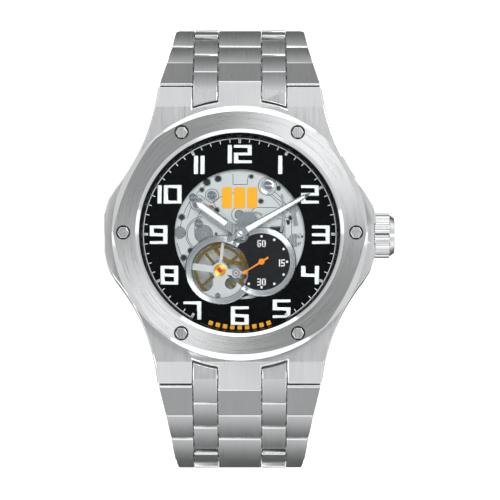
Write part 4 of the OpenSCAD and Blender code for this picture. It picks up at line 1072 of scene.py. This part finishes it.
def number_bars(text, centre):
    total = len(text) * DIGIT_W + (len(text) - 1) * DIGIT_GAP
    out = []
    for place, digit in enumerate(text):
        x = centre[0] - total / 2 + place * (DIGIT_W + DIGIT_GAP)
        y = centre[1] - DIGIT_H / 2
        for name in STROKES[digit]:
            x0, y0, x1, y1 = BARS[name]
            out.append(box_points(x + x0, y + y0, x + x1, y + y1))
    return out


bars = []
for text, offset in (("60", (0, 2.97)), ("15", (3.1, -0.18)), ("30", (0, -3.28))):
    bars += number_bars(text, SECONDS_AT + Vector(offset) * MM)
numbers = solid_from("seconds_numbers", bars, SECONDS_TOP - PRINT, SECONDS_TOP + PRINT,
                     [print_white])
mount(numbers, "case")
print("number strokes", len(bars))

# %% [markdown]
# ## The movement
# What shows through the open dial is the main plate with its levers, wheels, screws and jewels.
# The CAD parts have the right shapes; they get their finishes and the small broken edges that make
# a movement sparkle.

# %% Movement parts
EDGE_FINE = 0.06 * MM
EDGE_SMALL = 0.05 * MM
EDGE_BRIDGE = 0.08 * MM
for node in ("main_plate", "pallet_bridge"):
    soft_piece(node, [plate_frosted, steel_polished], EDGE_FINE)
soft_piece("keyless_works", [lever_steel, steel_polished], EDGE_FINE)
soft_piece("movement_screws", [screw_steel], EDGE_SMALL)
soft_piece("jewels", [ruby], EDGE_SMALL)
for node in ("rotor", "train_bridge"):
    soft_piece(node, [bridge_striped, steel_polished], EDGE_BRIDGE)

# %% Parts that keep their CAD shape
KEPT = {
    "balance_wheel": balance_gilt, "minute_wheel": disc_satin, "hour_wheel": disc_satin,
    "centre_wheel": gilt, "third_wheel": gilt, "fourth_wheel": gilt, "escape_wheel": gilt,
    "barrel": gilt, "hairspring": blued, "pallet_fork": lever_steel,
    "movement_ring": plate_frosted, "rotor_bearing": steel_polished,
    "crown_tube": steel_polished, "winding_stem": steel_polished, "lug_pins": steel_polished,
    "case_gaskets": rubber, "crown_gasket": rubber, "crystal": glass, "case_back_glass": glass,
}
for node, material in KEPT.items():
    dress(node, material)
print("parts dressed", len(KEPT) + 2)

# %% [markdown]
# ## Detail on the main plate
# A plate carries many small things: drilled holes with a bright countersink, screws, studs, and
# the thin shadow lines where one part is let into another. They are drawn from short lists of
# places, in millimetres from the centre. A hole is a disc painted dark as shade inside a raised
# bright ring.

# %% Holes in the plate
PLATE_SKIN = 0.025 * MM
SUNK, RAISED = 0.012 * MM, 0.05 * MM
HOLES = [(-3.54, 9.14, 0.5), (-5.35, 8.57, 0.55), (-6.18, 7.32, 0.33), (-4.52, 6.37, 0.68),
         (-3.77, 3.98, 0.4), (-9.45, 2.85, 0.45), (-7.99, -2.64, 0.42), (-9.1, -3.79, 0.46),
         (3.45, 5.46, 0.36), (8.3, 2.73, 0.36), (-3.85, 0.09, 0.16), (-5.88, 0.09, 0.3),
         (6.2, -9.3, 0.4), (1.9, 9.5, 0.3), (6.3, 7.6, 0.35)]
RIM = 0.16
FEWEST_STEPS, STEP_ANGLE = 6, 8


def ring_band(inner, outer, centre, first, last):
    """Outline of a band along an arc, in metres from millimetres."""
    steps = max(FEWEST_STEPS, round(abs(last - first) / STEP_ANGLE))
    angles = [first + (last - first) * i / steps for i in range(steps + 1)]
    out = [at_angle(outer, a) for a in angles] + [at_angle(inner, a) for a in reversed(angles)]
    return [((p.x + centre[0]) * MM, (p.y + centre[1]) * MM) for p in out]


def half_rings(inner, outer, centre):
    """A full ring as two half bands, because one outline can't hold a hole."""
    return [ring_band(inner, outer, centre, 0, 180), ring_band(inner, outer, centre, 180, 360)]


def on_plate(name, outlines, thickness, material, bevel=0.0):
    piece = solid_from(name, outlines, PLATE_TOP - PLATE_SKIN, PLATE_TOP + thickness, [material],
                       bevel=bevel, segments=1)
    mount(piece, "case")
    print(name, len(outlines), "outlines,", len(piece.data.polygons), "faces")


# Painted shade: each hole is a dark disc, dark as the shade inside a drilled hole.
hole_shade_outlines = [round_points(r * MM, 24, centre=(x * MM, y * MM)) for x, y, r in HOLES]
on_plate("plate_holes", hole_shade_outlines, SUNK, painted_shade_steel)
rims = []
for x, y, r in HOLES:
    rims += half_rings(r, r + RIM, (x, y))
on_plate("plate_countersinks", rims, RAISED, steel_satin)

# %% [markdown]
# ## Shadow lines
# A lever let into a plate shows as a thin dark gap round it. Each gap is a band a few hundredths
# thick in steel painted dark as shade: an arc is given by its radius, its centre and its two
# angles, and a straight gap by its two ends.

# %% Arcs and straight gaps
LINE = 0.09


def line(start, finish):
    a, b = Vector(start), Vector(finish)
    side = Vector((a.y - b.y, b.x - a.x)).normalized() * LINE / 2
    return in_mm([a + side, a - side, b - side, b + side])


SHADOW_ARCS = [(9.0, (0, 0), 22, 68), (8.1, (0, 0), 30, 66), (2.65, (-5.88, 0.09), 95, 250),
               (2.9, (-5.88, 0.09), 95, 250), (1.45, (-5.88, 0.09), 0, 360),
               (1.25, (-6.85, 5.2), 20, 250), (0.98, (-9.84, 0.32), -110, 110),
               (1.25, (-0.07, 3.26), 60, 300), (0.72, (-0.07, 3.26), 0, 360),
               (1.5, (4.51, 7.92), 0, 360), (9.75, (0, 0), 125, 178), (6.9, (0, 0), 96, 128),
               (1.1, (-4.52, 6.37), 0, 360), (7.4, (0, 0), 148, 176)]
SHADOW_LINES = [((2.66, 4.45), (6.1, 4.4)), ((2.66, 4.45), (1.9, 3.9)), ((-8.6, 2.6), (-7.9, 4.6)),
                ((-4.4, 5.6), (-3.9, 4.5)), ((-10.2, -1.4), (-9.0, -4.9)), ((5.2, 6.6), (7.3, 4.9)),
                ((7.35, 2.8), (7.35, -1.1)), ((8.45, 2.7), (8.45, -1.2)),
                ((7.35, 2.8), (8.45, 2.7)),
                ((-1.1, 9.9), (-1.1, 8.2)), ((-1.1, 8.2), (1.2, 8.2)), ((1.2, 8.2), (1.4, 9.7)),
                ((5.0, 1.4), (7.2, 1.3)), ((6.0, 2.6), (7.2, 2.5)), ((8.9, 0.1), (10.0, 0.1))]
shadows = [ring_band(r - LINE / 2, r + LINE / 2, c, a, b) for r, c, a, b in SHADOW_ARCS]
shadows += [line(a, b) for a, b in SHADOW_LINES]
on_plate("plate_shadow_lines", shadows, 0.01 * MM, painted_shade_steel)

# %% [markdown]
# ## Wheels, studs and pockets painted dark as shade on the plate
# Round discs with a turned face sit in the plate beside a polished stud. Under the minute hand, a
# slot shows the teeth of a wheel below: short dark bars of painted shade round an arc repeat them.

# %% Discs, stud and pocket
WHEEL_TEETH, TEETH_R, FIRST_TOOTH, TOOTH_STEP = 13, 2.4 * MM, 58, 5.3
TOOTH_LONG, TOOTH_HALF = 0.2 * MM, 0.05 * MM
DISCS = [(-5.88, 0.09, 1.38), (-9.84, 0.32, 0.9), (-0.07, 3.26, 0.68), (-6.85, 5.2, 0.9)]
disc_outlines = [round_points(r * MM, 40, centre=(x * MM, y * MM)) for x, y, r in DISCS]
on_plate("plate_discs", disc_outlines, 0.04 * MM, disc_satin, bevel=0.03 * MM)
# Painted shade: dark patches where recesses in the plate lie in shade.
SHADE_POCKETS = [in_mm([(4.7, 1.25), (7.2, 1.25), (7.1, 0.2), (5.9, 0.5)]),
           in_mm([(9.3, -0.15), (10.3, -0.15), (10.3, -0.5), (9.3, -0.5)]),
           in_mm([(7.5, 2.4), (8.3, 2.4), (8.1, 1.6), (7.7, 1.6)]),
           in_mm([(0.4, -10.3), (1.5, -9.9), (1.1, -9.5), (0.3, -9.8)])]
on_plate("plate_pockets", SHADE_POCKETS, SUNK, painted_shade_steel)
STUD_AT = (4.51 * MM, 7.92 * MM)
stud = lathe("plate_stud", dome_profile(1.28 * MM, PLATE_TOP, PLATE_TOP + 0.26 * MM, foot=0.1),
             STUD_AT, [steel_satin])
mount(stud, "case")
# Painted shade: the teeth are dark bars in the painted shade steel.
tooth = solid_from("tooth", [box_points(-TOOTH_LONG, -TOOTH_HALF, TOOTH_LONG, TOOTH_HALF)],
                   PLATE_TOP - PLATE_SKIN, PLATE_TOP + 0.03 * MM, [painted_shade_steel])
repeated("wheel_teeth", tooth, painted_shade_steel, "case", WHEEL_TEETH, TEETH_R,
         FIRST_TOOTH, TOOTH_STEP, (2.3 * MM, 1.2 * MM, 0))

# %% [markdown]
# ## The balance bridge
# The bridge is a plate with arms: it carries the upper balance jewel in a gold setting, and two
# windows in it show the pale gilt rim of the balance. Its outline is easiest to state in polar
# form: at each angle, the edge lies as far out as the longest arm reaches there.

# %% Balance bridge
BRIDGE_LOW, BRIDGE_HIGH = stands_on("balance_bridge")
BRIDGE_REACH = 4.55
HUB = 1.3
# Direction in degrees, half width and reach in millimetres of each straight arm.
ARMS = [(172, 0.55, BRIDGE_REACH), (84, 0.24, BRIDGE_REACH), (-11, 0.5, 3.3),
        (-6, 0.2, BRIDGE_REACH)]
SKIRT_FIRST, SKIRT_LAST = -128, -36


def bridge_edge(angle):
    reach = HUB
    for direction, half_width, length in ARMS:
        off = math.radians(angle - direction)
        if math.cos(off) > 0:
            reach = max(reach, min(length, half_width / max(abs(math.sin(off)), 1e-6)))
    if SKIRT_FIRST <= (angle + 180) % 360 - 180 <= SKIRT_LAST:
        reach = BRIDGE_REACH
    return reach * MM


EDGE_STEPS = 720
angles = [360 * i / EDGE_STEPS for i in range(EDGE_STEPS)]
bridge_outline = [tuple(at_angle(bridge_edge(a), a) + BALANCE_AT) for a in angles]
bridge = solid_from("bridge_plate", [bridge_outline], BRIDGE_LOW, BRIDGE_HIGH, [plate_frosted])
# Place from the balance axis and radius, in millimetres, of two windows and the jewel's hole.
WINDOWS = [((1.75, -2.15), 0.95), ((-2.6, -2.0), 1.5), ((0, 0), 0.62)]
window = bmesh.new()
for offset, radius in WINDOWS:
    drum(window, BALANCE_AT + Vector(offset) * MM, radius * MM, BRIDGE_LOW - MM, BRIDGE_HIGH + MM)
window_cutter = link_new("bridge_windows", mesh_from("bridge_windows", window))
bridge = cut_away(bridge, window_cutter, "balance_bridge_plate")
bridge.data.materials.append(steel_polished)
rounded = bridge.modifiers.new("edge", "BEVEL")
rounded.width = EDGE_FINE
rounded.segments = 2
rounded.limit_method = "ANGLE"
rounded.angle_limit = math.radians(40)
rounded.material = 1
mount(bridge, "case", "balance_bridge")
print("bridge faces", len(bridge.data.polygons))

# %% [markdown]
# ## Jewels in their settings
# A jewel is pressed into a turned metal ring with a sloping inside, which works like a small
# mirror round the stone. The balance has a gold one; the pallet fork's is plain steel.

# %% Settings and jewels
SETTING = [(0.42, -0.1), (1.0, -0.1), (1.0, 0.1), (0.85, 0.16), (0.55, 0.05), (0.42, 0.02)]
BOSS = [(0.2, -0.05), (0.78, -0.05), (0.78, 0.06), (0.7, 0.1), (0.34, 0.1), (0.2, 0.02)]
boss_at = BALANCE_AT + Vector((2.62, -0.5)) * MM
# Each setting with its shape and metal, then its jewel with radius, foot and top in millimetres.
STONES = [("balance_jewel_setting", SETTING, gilt_bright,
           "balance_cap_jewel", 0.44, -0.06, 0.1, BALANCE_AT),
          ("pallet_boss", BOSS, steel_satin, "pallet_jewel", 0.22, -0.04, 0.06, boss_at)]
for ring_name, shape, metal, stone_name, radius, foot, top, centre in STONES:
    setting = lathe(ring_name, turned_profile(BRIDGE_HIGH, shape), centre, [metal])
    mount(setting, "case")
    dome = dome_profile(radius * MM, BRIDGE_HIGH + foot * MM, BRIDGE_HIGH + top * MM)
    mount(lathe(stone_name, dome, centre, [ruby]), "case")
print("jewels in settings", len(STONES))

# %% [markdown]
# ## A white disc of painted light under the balance
# Painted light: a matt white disc stands in for the light that shows through the open movement, so
# the space round the rim reads as white light. It is a thin disc on top of the train bridge, with a
# hole for the lower jewels.

# %% Painted light disc
light_disc_low = PLATE_TOP - 2.75 * MM
LIGHT_DISC_PROFILE = [(0.9, 0), (4.5, 0), (4.5, 0.08), (0.9, 0.08)]
light_disc = lathe("silvered_floor", turned_profile(light_disc_low, LIGHT_DISC_PROFILE), BALANCE_AT, [painted_light_white])
mount(light_disc, "case")
print("painted light disc at", round(light_disc_low / MM, 2), "mm")

# %% [markdown]
# ## Plain amber marks
# Three plain rounded tiles stand above the centre, and a row of small plain dashes follows the
# track at 6 o'clock. They carry the warm accent colour of the dial and say nothing.

# %% Amber marks
CORNER_STEPS = 6


def rounded_box(x0, y0, x1, y1, r):
    """Outline of a box with round corners, in metres from millimetres."""
    out = []
    for cx, cy, first in ((x1 - r, y1 - r, 0), (x0 + r, y1 - r, 90), (x0 + r, y0 + r, 180),
                          (x1 - r, y0 + r, 270)):
        for i in range(CORNER_STEPS + 1):
            p = at_angle(r, first + 90 * i / CORNER_STEPS)
            out.append((cx + p.x, cy + p.y))
    return in_mm(out)


TILES = [(-2.9, 4.3, -1.25, 7.75), (-0.95, 4.3, 0.9, 7.75), (1.2, 4.3, 2.85, 7.75)]
on_plate("amber_tiles", [rounded_box(*tile, 0.3) for tile in TILES], 0.1 * MM, amber,
         bevel=0.03 * MM)
DASH_R = 15.2 * MM
dash = solid_from("dash", [rounded_box(-0.35, -0.36, 0.35, 0.36, 0.12)], PRINT_LOW, PRINT_TOP,
                  [amber])
DASHES, FIRST_DASH, DASH_STEP = 9, 252, 4.5
repeated("amber_dashes", dash, amber, "case", DASHES, DASH_R, FIRST_DASH, DASH_STEP,
         (0, 0, 0))

# %% [markdown]
# ## Floor and light
# A pale seamless floor lies under the clasp. Metal shows what is round it, so its looks depend on
# the tent of pale cloth and on where the panels stand. Two large soft panels at upper right and
# lower left light the circular brushing in two opposite sectors. Four low strips draw bright lines
# along the rounded edges. The dim parts of the tent give steel its dark accents: the links near the
# case lean towards the ground, so they darken from the end that still sees the horizon.

# %% Floor
FLOOR_HALF = 1.5
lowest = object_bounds()[0].z
floor_work = bmesh.new()
bmesh.ops.create_grid(floor_work, x_segments=8, y_segments=8, size=FLOOR_HALF)
bmesh.ops.translate(floor_work, verts=floor_work.verts, vec=(0, 0, lowest))
floor_paint = coated("studio floor, matt white, lit from below", "fbfbfb", 0.9, 0.02, 20 * MM,
                     spread=0.005, Emission_Color=(1, 1, 1, 1), Emission_Strength=0.28)
floor = link_new("floor", mesh_from("floor", floor_work, [floor_paint]))
# The steel mirrors the tent and not the floor, as it would on a small raised table.
floor.visible_glossy = False
bpy.context.scene.view_settings.view_transform = "Standard"


# %% Panels
def around(azimuth, elevation, far):
    """A place `far` metres from the watch, azimuth counted from 3 o'clock towards 12."""
    a, e = math.radians(azimuth), math.radians(elevation)
    return tuple(aim + far * Vector((math.cos(a) * math.cos(e), math.sin(a) * math.cos(e),
                                     math.sin(e))))


def panel(name, place, width, height, watts):
    light = bpy.data.lights.new(name, "AREA")
    light.shape = "RECTANGLE"
    light.size = width
    light.size_y = height
    light.energy = watts
    lamp = link_new(name, light)
    lamp.location = place
    lamp.rotation_euler = (aim - Vector(place)).to_track_quat("-Z", "Y").to_euler()


LIGHT_FAR = 0.9
# Azimuth and elevation in degrees, width and height in metres, and watts.
PANELS = {
    "upper right panel": (50, 58, 0.5, 0.5, 3.4),
    "lower left panel": (230, 58, 0.5, 0.5, 2.6),
    "12 o'clock strip": (90, 20, 1.0, 0.2, 0.7),
    "6 o'clock strip": (270, 24, 1.0, 0.2, 0.5),
    "9 o'clock strip": (180, 12, 0.2, 1.0, 0.5),
    "3 o'clock strip": (0, 12, 0.2, 1.0, 0.5),
}
for name, (azimuth, elevation, width, height, watts) in PANELS.items():
    panel(name, around(azimuth, elevation, LIGHT_FAR), width, height, watts)
print("panels", len(PANELS))

# %% [markdown]
# ## The tent
# The world is a tent of pale cloth. Its light depends only on how high a direction points, so one
# colour ramp over that height is enough. It is dim below, bright at the horizon and half way up,
# and dark in a small circle overhead, where the lens looks in.

# %% World
# Each pair is the height of a direction, from -1 for straight down to 1 for straight up, and the
# light there.
TENT = [(-1.0, 0.10), (-0.6, 0.2), (-0.35, 0.5), (-0.12, 1.1), (0.05, 1.25), (0.3, 0.8),
        (0.45, 0.85), (0.62, 1.3), (0.8, 0.8), (0.92, 0.66), (0.985, 0.55), (1.0, 0.12)]
world = bpy.data.worlds.new("studio")
bpy.context.scene.world = world
world.use_nodes = True
sky = world.node_tree
ground = sky.nodes["Background"]
place = add(sky, "ShaderNodeTexCoord")
split = add(sky, "ShaderNodeSeparateXYZ", {"Vector": place.outputs["Generated"]})
height = add(sky, "ShaderNodeMapRange", {"Value": split.outputs["Z"], "From Min": -1.0,
                                         "From Max": 1.0})
tent = add(sky, "ShaderNodeValToRGB", {"Fac": height.outputs["Result"]})
stops = tent.color_ramp.elements
while len(stops) < len(TENT):
    stops.new(0.5)
for stop, (level, strength) in zip(stops, TENT):
    stop.position = (level + 1) / 2
    stop.color = (strength, strength, strength, 1)
sky.links.new(tent.outputs["Color"], ground.inputs["Color"])
print("tent levels", len(TENT))
